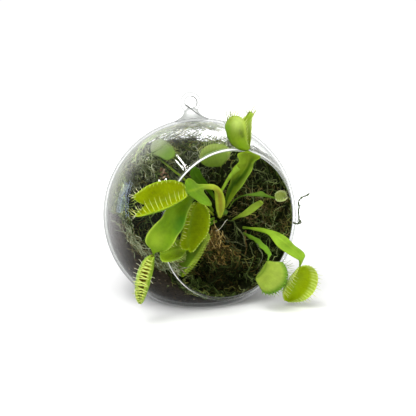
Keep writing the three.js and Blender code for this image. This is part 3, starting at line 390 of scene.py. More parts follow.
          [[25.5,-45.0,41.3],[28.7,-44.2,42.9],[31.1,-44.5,44.5]],
          [[26.6,-49.3,37.8],[31.0,-48.3,40.2],[34.4,-48.5,41.6]],
          [[29.8,-52.8,34.5],[33.6,-51.5,37.3],[36.9,-51.5,38.1]],
          [[33.5,-55.3,31.9],[36.5,-53.9,34.2],[40.1,-54.0,35.1]],
          [[36.4,-56.1,30.2],[38.0,-55.3,31.5],[41.6,-55.9,32.2]],
          [[37.9,-55.5,29.0],[38.5,-55.5,29.5],[40.3,-56.0,29.5]],
          [[38.4,-54.2,25.7],[38.9,-54.4,25.5],[39.3,-54.7,25.5]],
        ],
        'trap': {
          'h': [[39.0,-54.4,24.9],[40.2,-50.4,19.6],[40.0,-48.0,14.1],[38.4,-46.9,8.7],[36.3,-46.8,4.8],[34.3,-47.8,2.9]],
          'a': [[37.4,-55.7,24.8],[34.8,-56.9,22.1],[31.5,-57.2,19.0],[28.7,-56.6,16.0],[27.3,-55.2,12.4],[28.4,-53.0,8.0],[31.5,-50.2,4.0]],
          'b': [[39.4,-55.7,25.3],[41.2,-58.7,26.5],[43.8,-61.3,25.3],[45.5,-63.2,21.7],[45.3,-63.8,16.9],[43.9,-63.1,12.2],[41.7,-61.0,8.0],[39.3,-57.6,4.9],[36.6,-53.3,3.4],[34.8,-49.5,2.6]],
          'ba': 2.4, 'bb': 2.6, 'nt': 18, 'ta': [4.6, 5.6, 6.0, 5.4, 3.6], 'tb': [3.6, 4.6, 5.0, 4.6, 3.6], 'ca': [0.15], 'cb': [0.0],
        },
    },
    'leaf_right_short': {
        'pet': [
          [[23.8,-13.5,38.7],[24.4,-13.0,39.3],[24.4,-13.5,40.2]],
          [[22.7,-23.0,37.9],[23.4,-22.5,38.8],[23.7,-22.9,39.9]],
          [[22.3,-30.2,37.5],[23.5,-29.7,38.5],[23.9,-30.4,39.6]],
          [[21.1,-37.0,36.1],[22.9,-36.7,37.0],[23.6,-37.5,38.1]],
          [[20.5,-43.2,34.8],[22.4,-43.0,35.2],[23.2,-43.7,36.2]],
          [[20.5,-47.2,33.5],[21.8,-47.1,33.8],[23.2,-48.2,33.4]],
          [[19.9,-48.7,32.3],[20.4,-48.9,32.2],[20.8,-49.3,31.9]],
          [[18.8,-49.7,30.1],[19.2,-49.9,30.0],[19.6,-50.2,29.9]],
        ],
        'trap': {
          'h': [[19.2,-49.9,29.7],[17.8,-47.8,25.8],[16.0,-46.6,22.3],[13.7,-46.5,19.4]],
          'a': [[19.3,-51.8,30.0],[21.1,-56.4,30.6],[23.3,-59.8,30.9],[24.4,-62.4,27.8],[24.6,-63.6,23.6],[23.4,-63.3,19.0],[20.6,-60.8,14.9],[16.9,-56.9,12.2],[14.7,-52.9,12.4],[13.4,-49.1,16.3],[13.1,-47.3,18.3]],
          'b': [[20.2,-49.2,29.6],[23.6,-51.4,29.0],[26.3,-53.8,28.5],[27.5,-56.1,25.3],[27.6,-57.3,21.7],[26.4,-56.9,17.6],[23.7,-54.6,13.8],[20.1,-51.4,11.5],[17.3,-48.3,12.2],[15.1,-46.1,16.2],[13.9,-45.7,18.2]],
          'ba': 3.0, 'bb': 2.6, 'nt': 17, 'ta': [3.0, 4.2, 4.4, 2.6, 1.4], 'tb': [3.0, 4.0, 4.0, 2.6, 1.6], 'ca': [0.25, 0.2, 0.2, 0.5, 0.8], 'cb': [0.3],
        },
    },
    'leaf_right_small': {
        'pet': [
          [[12.5,-14.5,55.9],[12.9,-14.1,56.4],[13.0,-14.5,57.1]],
          [[14.7,-18.0,61.1],[15.0,-17.6,61.8],[15.0,-17.9,62.6]],
          [[18.4,-22.7,64.4],[19.0,-22.2,65.1],[19.0,-22.7,66.1]],
          [[23.7,-26.9,64.7],[24.6,-26.2,65.9],[24.6,-26.8,67.5]],
          [[27.2,-29.1,64.2],[28.1,-28.1,65.8],[27.9,-28.6,68.1]],
          [[31.2,-30.3,63.8],[31.8,-29.8,64.6],[31.8,-30.2,65.8]],
          [[35.2,-31.5,63.0],[35.5,-31.3,63.6],[35.5,-31.4,64.2]],
        ],
        'trap': {
          'h': [[35.6,-31.3,63.6],[38.3,-32.0,63.1],[41.3,-33.3,63.4]],
          'a': [[35.2,-32.1,64.5],[34.7,-33.2,66.8],[36.9,-34.7,68.4],[39.9,-35.9,67.5],[41.3,-35.2,65.2],[41.4,-34.2,63.9]],
          'b': [[35.2,-32.6,63.2],[34.7,-35.7,62.7],[36.3,-37.6,62.8],[39.1,-37.5,63.2],[40.8,-35.5,63.4],[41.3,-34.4,63.5]],
          'ba': 1.0, 'bb': 1.0, 'nt': 9, 'ta': [2.2], 'tb': [2.2], 'ca': [0.4], 'cb': [0.4],
        },
    },
    'leaf_young': {
        'pet': [
          [[17.2,-11.0,47.2],[17.2,-10.4,47.8],[16.9,-10.5,48.5]],
          [[17.6,-18.8,50.6],[17.4,-18.1,51.2],[16.8,-18.1,52.0]],
          [[19.5,-25.5,53.0],[19.4,-24.0,54.5],[18.1,-24.3,56.0]],
          [[22.1,-30.2,56.6],[21.7,-28.1,58.1],[20.0,-28.7,60.0]],
          [[24.1,-33.8,60.1],[23.8,-32.1,61.1],[22.1,-32.3,62.5]],
          [[24.4,-35.5,61.7],[24.2,-34.7,62.5],[22.9,-34.3,63.6]],
        ],
    },
    'leaf_inner_left': {
        'pet': [
          [[7.0,-9.3,59.1],[7.8,-9.1,59.4],[8.2,-9.7,59.9]],
          [[-1.2,-13.8,67.3],[0.1,-13.4,67.9],[0.7,-14.5,68.8]],
          [[-9.2,-18.6,72.5],[-6.8,-18.3,73.4],[-5.7,-19.9,75.0]],
          [[-15.4,-21.6,76.5],[-12.2,-21.4,77.7],[-10.5,-23.3,79.7]],
          [[-18.1,-22.8,80.4],[-15.3,-22.9,81.4],[-12.8,-24.7,83.3]],
          [[-17.8,-23.8,84.1],[-16.8,-24.0,84.5],[-15.5,-24.8,85.1]],
        ],
    },
    'leaf_back_left': {
        'pet': [
          [[5.6,-6.7,56.9],[6.3,-6.5,57.4],[6.6,-7.0,57.9]],
          [[-1.9,-8.6,64.0],[-1.0,-8.4,64.8],[-0.4,-9.0,65.7]],
          [[-11.9,-9.6,71.2],[-10.9,-9.2,72.2],[-10.5,-9.9,73.2]],
          [[-21.3,-9.9,78.6],[-20.0,-9.5,79.7],[-19.4,-10.5,80.9]],
          [[-28.8,-8.3,84.9],[-27.4,-7.9,86.1],[-26.7,-8.9,87.2]],
          [[-33.8,-6.0,90.1],[-33.0,-5.9,90.7],[-32.4,-6.4,91.4]],
          [[-34.6,-5.5,91.2],[-34.1,-5.6,91.6],[-33.7,-5.8,92.0]],
        ],
        'trap': {
          'h': [[-34.0,-5.5,91.6],[-34.1,-3.2,94.8],[-32.1,-2.2,98.2],[-28.5,-3.0,100.0]],
          'a': [[-33.8,-7.5,91.4],[-32.0,-11.2,90.4],[-28.8,-14.6,88.8],[-25.3,-15.7,90.3],[-23.7,-14.4,93.0],[-24.7,-11.1,96.2],[-26.8,-7.2,98.7],[-28.2,-4.6,99.8]],
          'b': [[-33.0,-4.4,91.9],[-28.7,-2.6,90.4],[-24.2,-3.0,89.0],[-20.8,-3.8,90.3],[-20.1,-4.1,93.1],[-22.3,-3.4,96.4],[-25.4,-2.5,99.0],[-27.6,-2.3,100.0]],
          'ba': 2.4, 'bb': 2.2, 'nt': 13, 'ta': [3.6], 'tb': [3.6], 'ca': [0.4], 'cb': [0.4],
        },
    },
    'leaf_back_top': {
        'pet': [
          [[10.3,-7.9,58.6],[11.1,-7.8,58.8],[11.4,-8.4,59.1]],
          [[7.5,-12.9,67.0],[8.6,-12.8,67.2],[9.1,-13.7,67.5]],
          [[5.0,-17.7,75.1],[6.4,-17.6,75.3],[7.1,-18.7,75.7]],
          [[3.0,-21.5,81.9],[4.2,-21.4,82.1],[4.7,-22.3,82.4]],
          [[2.9,-22.9,84.6],[3.4,-22.9,84.9],[3.8,-23.3,85.1]],
        ],
        'trap': {
          'h': [[3.5,-22.7,84.9],[1.0,-19.9,84.3],[-2.3,-17.5,84.2],[-6.0,-16.2,85.6]],
          'a': [[4.2,-23.8,86.1],[5.6,-26.6,89.6],[6.1,-27.8,93.9],[3.4,-26.6,97.0],[-1.3,-24.1,97.9],[-5.9,-21.3,96.3],[-8.7,-18.8,92.6],[-8.5,-17.2,88.8],[-7.0,-16.6,86.3]],
          'b': [[4.7,-21.6,85.8],[8.6,-19.2,89.2],[10.3,-16.7,93.2],[8.2,-14.2,96.0],[4.1,-11.6,96.5],[-0.6,-10.1,95.1],[-4.2,-10.7,92.1],[-5.7,-12.9,88.9],[-5.9,-15.1,86.6]],
          'ba': 2.4, 'bb': 2.2, 'nt': 15, 'ta': [3.6], 'tb': [3.6], 'ca': [0.1], 'cb': [0.1],
        },
    },
}

# how each leaf looks: blade and trap colours (sRGB), strength of each effect
LOOK = {
    # leaf_low_left: its inner colour is made paler, painted light in the shaded trap; rim 0.75 adds a painted highlight
    # along the stalk's raised edge; its shade patches are painted shade on the stalk's right half and painted light on
    # its lower left
    'leaf_low_left':    dict(blade=(90, 122, 4), inner=(150, 150, 52), outer=(128, 160, 36), margin=(166, 184, 70), band=0.10, wave=0.20, tooth=1.5, tip=(190, 202, 104), rib=0.1, rim=0.75, nt=14, offs=(0.42, 0.58), bed=[(130, 164, 36), (124, 116, 34), (106, 84, 30), (124, 130, 32), (136, 168, 42)],
                             shade=[(182.5, 221, 63.5, 4.8, 0.75, (30, 84, 4)), (181, 231, 64.5, 3.2, 0.5, (40, 96, 6)), (156, 240, 65.5, 5.0, 0.5, (146, 172, 40)), (172, 212, 62, 4.0, 0.35, (130, 160, 30))]),
    'leaf_left':        dict(blade=(94, 130, 22), inner=(146, 161, 6), outer=(92, 128, 18), margin=(150, 174, 38), band=0.08, wave=0.45, tooth=0.62, tip=(192, 204, 100),
                             paint=[(0.32, 0, 0.40, 3, 0.95, (176, 190, 56)), (0.30, 0.15, 0.24, 0.45, 0.6, (140, 112, 40)), (0.60, -0.8, 0.10, 0.35, 0.5, (120, 150, 40))]),
    'leaf_centre':      dict(blade=(128, 148, 30), inner=(128, 148, 8), outer=(84, 118, 14), margin=(140, 162, 34), band=0.12, wave=0.35, blush=0.9, tooth=0.85, tip=(200, 204, 116), rib=0.6),
    'leaf_lower_front': dict(blade=(84, 130, 20), inner=(124, 152, 24), outer=(96, 134, 24), margin=(150, 176, 58), band=0.12, wave=0.20, tooth=0.62, tip=(176, 190, 110)),
    'leaf_lower_inner': dict(blade=(66, 108, 12), inner=(118, 144, 18), outer=(82, 110, 20), margin=(146, 172, 50), band=0.10, wave=0.20, tooth=0.95, tip=(160, 178, 80)),
    'leaf_top':         dict(blade=(117, 142, 28), inner=(120, 144, 26), outer=(104, 128, 20), margin=(150, 172, 56), band=0.10, wave=0.35, tooth=0.8, tip=(178, 190, 110), fold=2.2,
                             slim=[(0, 1, 1), (0.08, 0.7, 1), (0.16, 0.42, 1), (0.36, 0.46, 1), (0.46, 0.8, 1), (0.54, 1, 1), (1, 1, 1)],
                             # paint: painted shade along the fold of the stalk, darkest in its crease, and a painted
                             # highlight on its lit right wing
                             paint=[(0.05, -0.3, 0.12, 0.6, 0.7, (40, 70, 10)), (0.20, -0.55, 0.14, 0.6, 0.85, (40, 72, 8)), (0.34, -0.30, 0.12, 0.50, 0.85, (44, 78, 10)), (0.46, 0.1, 0.10, 0.38, 0.8, (48, 84, 10)),
                                    (0.58, 0.32, 0.10, 0.30, 0.75, (50, 88, 10)), (0.70, 0.42, 0.08, 0.22, 0.65, (54, 92, 12)), (0.82, 0.40, 0.08, 0.2, 0.5, (60, 100, 14)), (0.55, 0.9, 0.25, 0.25, 0.5, (150, 182, 70))],
                             # shade: the small near-black dots are marks of the trap; the other patches are partly the
                             # lobes' own colour and partly painted light and shade
                             shade=[(226.6, 129, 44, 2.4, 0.5, (84, 118, 16)), (228, 137, 42, 2.2, 0.4, (84, 118, 16)), (241.6, 133.4, 53, 1.0, 1.0, (26, 34, 8)), (242.8, 136.2, 53, 0.7, 0.9, (30, 38, 8)), (240.4, 130.6, 52.5, 0.7, 0.9, (36, 44, 10)), (242.6, 131.6, 53, 0.6, 0.85, (40, 48, 12)), (241.6, 132.6, 53, 2.6, 0.45, (84, 100, 20)), (237, 122, 52, 4.4, 0.6, (172, 190, 100)), (229.4, 128, 47, 2.0, 0.7, (90, 138, 14)), (230.2, 136, 45, 2.0, 0.7, (90, 138, 14)), (233.4, 144, 44, 2.4, 0.4, (96, 136, 10)), (242, 146.4, 50, 4.0, 0.55, (98, 132, 4)), (250.2, 124, 45, 3.4, 0.7, (166, 184, 104)), (250.2, 132, 45.5, 3.0, 0.6, (160, 178, 96)), (250.0, 114.4, 43, 2.2, 0.5, (150, 176, 70))]),
    'leaf_right_long':  dict(blade=(122, 156, 38), inner=(150, 171, 4), outer=(126, 150, 14), margin=(166, 190, 52), band=0.40, wave=0.25, tooth=0.6, tip=(210, 214, 160), rays=0.12, beams=(214, 224, 130),
                             # shade: painted shade on part of the stalk
                             shade=[(289, 246.5, 25, 3.0, 0.4, (80, 112, 20)), (297, 252, 26, 2.2, 0.4, (84, 116, 22))]),
    # leaf_right_short: the dark margin colour is painted shade along the trap's margin, and the along band is painted
    # shade beside its hinge
    'leaf_right_short': dict(blade=(96, 134, 32), inner=(120, 146, 34), outer=(132, 152, 54), margin=(78, 124, 18), band=0.13, wave=1.3, edge=0.16, veins=0.35, tooth=0.6, tip=(168, 184, 110), along=(60, 100, 16)),
    'leaf_right_small': dict(blade=(84, 116, 30), inner=(150, 164, 84), outer=(168, 180, 112), margin=(176, 188, 116), band=0.2, wave=0.15, tooth=0.8, tip=(196, 202, 150), slim=[(0, 0.5, 0.5), (0.3, 0.36, 0.36), (0.48, 0.45, 0.4), (0.62, 0.75, 0.7), (0.72, 0.6, 0.95), (0.82, 0.6, 0.6), (1, 0.7, 0.7)]),
    'leaf_young':       dict(blade=(126, 150, 46), inner=(112, 140, 38), outer=(112, 140, 38), margin=(150, 168, 70), band=0.1, wave=0.10),
    'leaf_inner_left':  dict(blade=(60, 97, 3), inner=(84, 120, 18), outer=(84, 120, 18), margin=(104, 136, 30), band=0.1, wave=0.20),
    'leaf_back_left':   dict(blade=(118, 140, 40), inner=(116, 138, 56), outer=(108, 130, 52), margin=(132, 156, 64), band=0.1, wave=0.15, tooth=0.6, tip=(150, 160, 90), slim=[(0, 0.4, 0.4), (1, 0.36, 0.36)], ridge=0.15, veins=0.2,
                             # shade: the pale grey patches are a painted reflection of the glass's pale veil over the
                             # trap
                             shade=[(152, 144, 27, 9.0, 0.9, (134, 138, 114)), (158, 148, 26, 7.0, 0.7, (122, 132, 92)), (171, 158, 31, 7.0, 0.6, (84, 124, 34))]),
    'leaf_back_top':    dict(blade=(26, 36, 10), inner=(112, 136, 44), outer=(112, 138, 48), margin=(152, 170, 84), band=0.2, wave=0.15, tooth=0.7, tip=(178, 186, 130), slim=[(0, 0.5, 0.5), (1, 0.6, 0.6)]),
}


def shaded(tint, P, look):
    """Soft patches of another colour round points of the leaf: painted shade where a fold or a part lies in shade,
    painted light where the flesh is lit, painted reflection of the glass's pale veil, and on leaf_top also small dark
    marks of the trap itself.
    """
    for px, py, depth, r, k, col in look.get('shade', ()):
        w = k * np.exp(-((P - seen_at(px, py, depth)) ** 2).sum(-1) / (r * r))
        tint = tint * (1 - w[..., None]) + srgb(*col) * w[..., None]
    return tint


TOOTH_RINGS = 8


def stalk_piece(parts, spec, look, rng, rows, cols):
    S = np.array(spec['pet'], float)
    ks = knots(S[:, 1])
    L, C, R = curve(S[:, 0], ks), curve(S[:, 1], ks), curve(S[:, 2], ks)
    t = np.linspace(0, 1, rows + 1)
    l, c, r = L(t), C(t), R(t)
    if 'slim' in look:
        ts, fl, fr = np.array(look['slim'], float).T
        l, r = c + (l - c) * np.interp(t, ts, fl)[:, None], c + (r - c) * np.interp(t, ts, fr)[:, None]
    if 'edge' in look:
        run = np.concatenate([[0], np.cumsum(np.linalg.norm(np.diff(c, axis=0), axis=1))])
        l = c + (l - c) * (1 + look['edge'] * np.sin(run / 1.25))[:, None]
        r = c + (r - c) * (1 + look['edge'] * np.sin(run / 1.6 + 2))[:, None]
    s = np.linspace(-1, 1, cols + 1)
    s = np.sign(s) * np.abs(s) ** 0.9
    across = (r - l) / 2
    sag = (l + r) / 2 - c
    P = c[:, None] + across[:, None] * s[None, :, None] + sag[:, None] * (s * s)[None, :, None]
    width = np.linalg.norm(r - l, axis=1)
    length = np.concatenate([[0], np.cumsum(np.linalg.norm(np.diff(c, axis=0), axis=1))])
    N = grid_normals(P)
    wide = smooth01((width - 3.0) / 6.0)
    ph = rng.uniform(0, 6.28, 4)
    wave = (np.sin(length / 3.1 + ph[0])[:, None] * np.where(s < 0, 1, 0) + np.sin(length / 2.6 + ph[1])[:, None] * np.where(s > 0, 1, 0))
    P = P + N * (look['wave'] * wide[:, None] * wave * np.abs(s)[None, :] ** 2.2)[..., None]
    P = P - back * (look.get('fold', 0.0) * wide[:, None] * (1 - np.abs(s)[None, :]))[..., None]
    # side veins leave the midrib at a slant, so the blade ripples a little along them
    slant = length[:, None] - np.abs(s)[None, :] * width[:, None] * 0.55
    ripple = np.sin(slant * 2 * math.pi / 1.55) * 0.035 * wide[:, None] * (np.abs(s)[None, :] > 0.12)
    bump = np.exp(-(s / 0.10) ** 2)[None, :] * 0.42 * wide[:, None]
    flat_half = 0.30 - 0.17 * np.abs(s)[None, :] ** 3 + 0 * width[:, None]
    round_half = np.sqrt(np.clip(1 - s * s, 0.02, 1))[None, :] * np.clip(width * 0.42, 0.35, 0.75)[:, None]
    half = flat_half * wide[:, None] + round_half * (1 - wide[:, None])
    V, Q = closed_sheet(P, half + bump * 0.25 + ripple, half + bump + ripple)
    blade = srgb(*look['blade'])
    pale = srgb(*look['margin'])
    tint = np.ones(P.shape) * blade
    rib = np.exp(-(s / 0.07) ** 2)[None, :] * wide[:, None]
    tint = tint * (1 - 0.35 * look.get('rib', 1.0) * rib[..., None]) + pale * 0.35 * look.get('rib', 1.0) * rib[..., None]
    vein = (0.5 + 0.5 * np.sin(slant * 2 * math.pi / 1.55)) ** 3 * wide[:, None] * (1 - np.abs(s)[None, :] ** 4)
    tint = tint * (1 - 0.13 * vein[..., None])
    # paler blade edges, in the margin colour; a large rim, as on leaf_low_left, makes this also a painted highlight
    # along the raised edge
    edge = smooth01((np.abs(s) - 0.86) / 0.12)[None, :] * wide[:, None]
    k_edge = look.get('rim', 0.3)
    tint = tint * (1 - k_edge * edge[..., None]) + pale * k_edge * edge[..., None]
    # towards the rosette the stalk is paler, with a little red in its foot
    foot = np.clip(1 - length / 9.0, 0, 1)[:, None, None]
    tint = tint * (1 - 0.45 * foot) + srgb(120, 140, 50) * 0.45 * foot
    n1 = value_noise(P.reshape(-1, 3), 0.16, 5).reshape(P.shape[:2])
    n2 = value_noise(P.reshape(-1, 3), 0.5, 9).reshape(P.shape[:2])
    tint = tint * (1 + 0.18 * n1 + 0.10 * n2)[..., None]
    # colour patches placed along and across the stalk; on leaf_top they are painted shade along the stalk's fold and a
    # painted highlight on its lit wing
    for t0, s0, rt, rs, k, col in look.get('paint', ()):
        w = (k * np.exp(-((t - t0) / rt) ** 4)[:, None] * np.exp(-((s - s0) / rs) ** 4)[None, :])[..., None]
        tint = tint * (1 - w) + srgb(*col) * (1 + 0.18 * n1 + 0.10 * n2)[..., None] * w
    tint = shaded(tint, P, look)
    both = np.concatenate([tint.reshape(-1, 3), (tint * 0.93).reshape(-1, 3)])
    place = np.stack([np.repeat(length, cols + 1), np.tile(s, rows + 1) * np.repeat(width, cols + 1) / 2, np.zeros(len(P.reshape(-1, 3)))], -1)
    parts.add(V, Q, None, both, np.concatenate([place, place]))
    return L, C, R


def trap_piece(parts, trap, look, rng, rows, cols):
    H, A, B = curve(trap['h']), curve(trap['a']), curve(trap['b'])

    def outward(u, own, other):
        h = H(u)
        d, e = own(u) - h, other(u) - h
        t = H(np.minimum(1, u + 0.02)) - H(np.maximum(0, u - 0.02))
        n = unit(np.cross(t, d))
        return np.where((n * e).sum(-1, keepdims=True) > 0, -n, n)

    u = np.linspace(0, 1, rows + 1)
    h, a, b = H(u), A(u), B(u)
    na, nb = outward(u, A, B), outward(u, B, A)
    swell = np.sin(math.pi * np.clip(u, 0.02, 0.98)) ** 0.6
    v = np.linspace(-1, 1, 2 * cols + 1)
    av = np.abs(v)
    left = (v < 0)[None, :, None]
    M = np.where(left, a[:, None], b[:, None])
    K = np.where(v < 0, trap['ba'], trap['bb'])
    Nn = np.where(left, na[:, None], nb[:, None])
    # the lobes curl a little inward just before the margin and flare at the teeth
    P = h[:, None] * (1 - av)[None, :, None] + M * av[None, :, None] + Nn * (swell[:, None] * (K * 4 * av * (1 - av))[None, :])[..., None]
    G = grid_normals(P)
    width = np.linalg.norm(a - h, axis=1) * 0.5 + np.linalg.norm(b - h, axis=1) * 0.5
    out_is_top = (G * Nn).sum(-1) > 0                      # per point
    flip = 1.0 if out_is_top[rows // 2, cols // 2] else -1.0
    # where the grid's normal swaps sides there is none: the sheet is one surface, hinge included
    band = look['band']
    nt = look.get('nt', trap['nt'])
    ridge_u = (u[:, None] - 0.06) / 0.88 * nt
    shift = np.where(v < 0, 0.25, 0.75)[None, :]
    ridge = 0.5 + 0.5 * np.cos(2 * math.pi * (ridge_u - shift))
    inband = smooth01((av - (1 - band * 1.25)) / (band * 0.6))[None, :]
    ripple = 0.22 * ridge * inband
    veins = (0.5 + 0.5 * np.sin(2 * math.pi * (u[:, None] * nt * 1.3 + 0.25 * np.sin(av * 3)[None, :]))) * (1 - inband) * smooth01(av * 4)[None, :]
    half = 0.33 - 0.16 * av[None, :] ** 3 + 0.45 * look.get('ridge', 1.0) * np.exp(-(v / 0.05) ** 2)[None, :] + 0 * u[:, None]
    vein_relief = 0.02 * look.get('veins', 1.0) * veins
    V, Q = closed_sheet(P, half + 0.5 * ripple + vein_relief, half + 0.5 * ripple + vein_relief)
    inner, outer, margin = srgb(*look['inner']), srgb(*look['outer']), srgb(*look['margin'])

    def paint(base, is_inner):
        c = np.ones(P.shape) * base
        m = inband[..., None] * np.ones(P.shape)
        c = c * (1 - 0.75 * m) + margin * 0.75 * m
        c = c * (1 - 0.16 * look.get('veins', 1.0) * (veins * (0.6 if is_inner else 1.0))[..., None])
        c = c * (1 - (look.get('rays', 0.22) * (1 - ridge) * inband)[..., None])
        if 'beams' in look:
            beam = (0.85 * ridge ** 2.5 * inband)[..., None]
            c = c * (1 - beam) + srgb(*look['beams']) * beam
        hinge = np.exp(-(v / 0.09) ** 2)[None, :, None]
        c = c * (1 - 0.25 * look.get('ridge', 1.0) * hinge) + srgb(120, 160, 40) * 0.25 * look.get('ridge', 1.0) * hinge
        # painted shade: a dark band beside the hinge, in the crease where the lobe folds
        if 'along' in look:
            fold = np.exp(-((av - 0.12) / 0.05) ** 2)[None, :, None] * 0.6
            c = c * (1 - fold) + srgb(*look['along']) * fold
        if is_inner:
            dots = value_noise(P.reshape(-1, 3), 2.6, 3).reshape(P.shape[:2])
            c = c * (1 + 0.10 * dots * (1 - inband))[..., None]
            blush = look.get('blush', 0.0)
            if blush:
                zone = (np.exp(-((av - 0.80) / 0.14) ** 2) * (v < 0))[None, :] * smooth01((u - 0.2) / 0.2)[:, None] * smooth01((0.9 - u) / 0.2)[:, None]
                c = c * (1 - blush * zone[..., None]) + srgb(146, 92, 40) * blush * zone[..., None]
        n1 = value_noise(P.reshape(-1, 3), 0.14, 15).reshape(P.shape[:2])
        n2 = value_noise(P.reshape(-1, 3), 0.6, 19).reshape(P.shape[:2])
        return shaded(c * (1 + 0.16 * n1 + 0.10 * n2)[..., None], P, look)

    ci, co = paint(inner, True), paint(outer, False)
    top, bottom = (co, ci) if flip > 0 else (ci, co)
    tint = np.concatenate([top.reshape(-1, 3), bottom.reshape(-1, 3)])
    ln = np.concatenate([[0], np.cumsum(np.linalg.norm(np.diff(h, axis=0), axis=1))])
    place = np.stack([np.repeat(ln, len(v)), np.tile(v, rows + 1) * np.repeat(width, len(v)), np.ones(P.size // 3)], -1)
    parts.add(V, Q, None, tint, np.concatenate([place, place]))

    # marginal teeth, all of them
    paths, radii, tints = [], [], []
    for own, other, k0, off, lens, leans in ((A, B, trap['ba'], look.get('offs', (0.25, 0.75))[0], trap['ta'], trap['ca']), (B, A, trap['bb'], look.get('offs', (0.25, 0.75))[1], trap['tb'], trap['cb'])):
        uu = 0.06 + 0.88 * (np.arange(nt) + off) / nt
        uu = uu + rng.uniform(-0.15, 0.15, nt) * 0.88 / nt
        m, hh, mo = own(uu), H(uu), other(uu)
        n = outward(uu, own, other)
        sw = np.sin(math.pi * np.clip(uu, 0.02, 0.98)) ** 0.6
        along = unit(m - hh)
        tang = unit((m - hh) - n * (k0 * sw * 4)[:, None])    # the lobe's own direction at its margin
        over = unit(mo - m)
        c = np.interp(uu, np.linspace(0, 1, len(leans)), leans)[:, None] if len(leans) > 1 else np.full((nt, 1), leans[0])
        tl = np.interp(uu, np.linspace(0, 1, len(lens)), lens) if len(lens) > 1 else np.full(nt, lens[0])
        d = unit(along * (1 - 0.75 * c) + over * (0.2 + 0.7 * c))
        side = unit(np.cross(d, n))
        d = unit(d + side * rng.normal(0, 0.07, nt)[:, None] + n * rng.normal(0.02, 0.05, nt)[:, None])
        ln = (tl * (0.55 + 0.45 * np.sin(math.pi * uu)) + 0.6) * rng.uniform(0.86, 1.1, nt)
        t = np.linspace(0, 1, TOOTH_RINGS)[None, :, None]
        start = m - tang * 0.9
        d0 = unit(tang * 0.55 + d * 0.65)
        bend = rng.normal(0.10, 0.10, nt)[:, None, None]
        L3 = (ln + 0.9)[:, None, None]
        p = start[:, None] + L3 * (t * d0[:, None] + t * t * 0.55 * (d - d0)[:, None] + t * t * bend * over[:, None] * 0.6)
        tt = np.linspace(0, 1, TOOTH_RINGS)[None, :]
        rad = (0.42 * (1 - tt) ** 0.8 + 0.05) * np.clip(0.62 + 0.055 * ln, 0.6, 1.05)[:, None] * look.get('tooth', 1.0)
        paths.append(p)
        radii.append(rad)
        base = margin * 0.9 + 0.02
        tip = srgb(*look.get('tip', (196, 204, 120)))
        w = smooth01(tt * 1.3)[..., None]
        tints.append((base * (1 - w) + tip * w) * rng.uniform(0.9, 1.1, nt)[:, None, None])
    paths, radii, tints = np.concatenate(paths), np.concatenate(radii), np.concatenate(tints)
    V, Q, T = tubes(paths, radii, 5, 0.8)
    pl = np.repeat(paths.reshape(-1, 3), 5, axis=0) * 0.2
    parts.add(V, Q, T, np.repeat(tints.reshape(-1, 3), 5, axis=0), pl)

    if 'bed' in look:
        # the lobes' inner faces close in behind the teeth
        uu = np.linspace(0.02, 0.98, 61)
        ss = np.linspace(0, 1, 13)
        Pb = A(uu)[:, None] * (1 - ss)[None, :, None] + B(uu)[:, None] * ss[None, :, None]
        sink = (0.14 + 0.62 * np.sin(math.pi * ss))[None, :, None] * np.sin(math.pi * np.clip(uu, 0.03, 0.97))[:, None, None] ** 0.5
        Pb = Pb + unit(H(uu) - (A(uu) + B(uu)) / 2)[:, None] * sink * 2.6
        cb = np.stack([np.interp(uu, np.linspace(0, 1, len(look['bed'])), np.array([srgb(*c) for c in look['bed']])[:, k]) for k in range(3)], -1)
        Vb, Qb = closed_sheet(Pb, 0.12 + 0 * Pb[..., 0], 0.12 + 0 * Pb[..., 0])
        n1 = value_noise(Pb.reshape(-1, 3), 0.7, 25).reshape(Pb.shape[:2])
        tb = cb[:, None] * (1 + 0.35 * n1)[..., None]
        parts.add(Vb, Qb, None, np.concatenate([tb.reshape(-1, 3)] * 2), np.concatenate([Pb.reshape(-1, 3)] * 2) * 0.3)

    # three trigger hairs on each lobe's inner face
    paths, radii = [], []
    for own, other, k0 in ((A, B, trap['ba']), (B, A, trap['bb'])):
        for uu, vv in ((0.36, 0.48), (0.62, 0.46), (0.5, 0.66)):
            x = np.array([uu])
            hh, m, n = H(x)[0], own(x)[0], outward(x, own, other)[0]
            sw = math.sin(math.pi * uu) ** 0.6
            q = hh * (1 - vv) + m * vv + n * k0 * sw * 4 * vv * (1 - vv)
            t = np.linspace(0, 1, 5)[:, None]
            tilt = unit(-n + 0.35 * unit(m - hh))
            paths.append(q - n * 0.1 + tilt * t * 1.5)
            radii.append(0.11 * (1 - t[:, 0]) + 0.025)
    V, Q, T = tubes(np.array(paths), np.array(radii), 5)
    parts.add(V, Q, T, srgb(96, 70, 30), np.repeat(np.array(paths).reshape(-1, 3), 5, axis=0) * 0.2)


# ------------------------------------------------------------------ materials
def material(name):
    m = bpy.data.materials.new(name)
    m.use_nodes = True
    nt = m.node_tree
    nt.nodes.clear()
    out = nt.nodes.new("ShaderNodeOutputMaterial")
    return m, nt, out


def node(nt, kind, **values):
    n = nt.nodes.new(kind)
    for k, v in values.items():
        if k.startswith("_"):
            setattr(n, k[1:], v)
        else:
            n.inputs[k.replace("__", " ")].default_value = v
    return n


def ramp(nt, stops):
    n = nt.nodes.new("ShaderNodeValToRGB")
    els = n.color_ramp.elements
    while len(els) > 1:
        els.remove(els[-1])
    els[0].position, els[0].color = stops[0][0], (*stops[0][1], 1)
    for pos, col in stops[1:]:
        e = els.new(pos)
        e.color = (*col, 1)
    return n


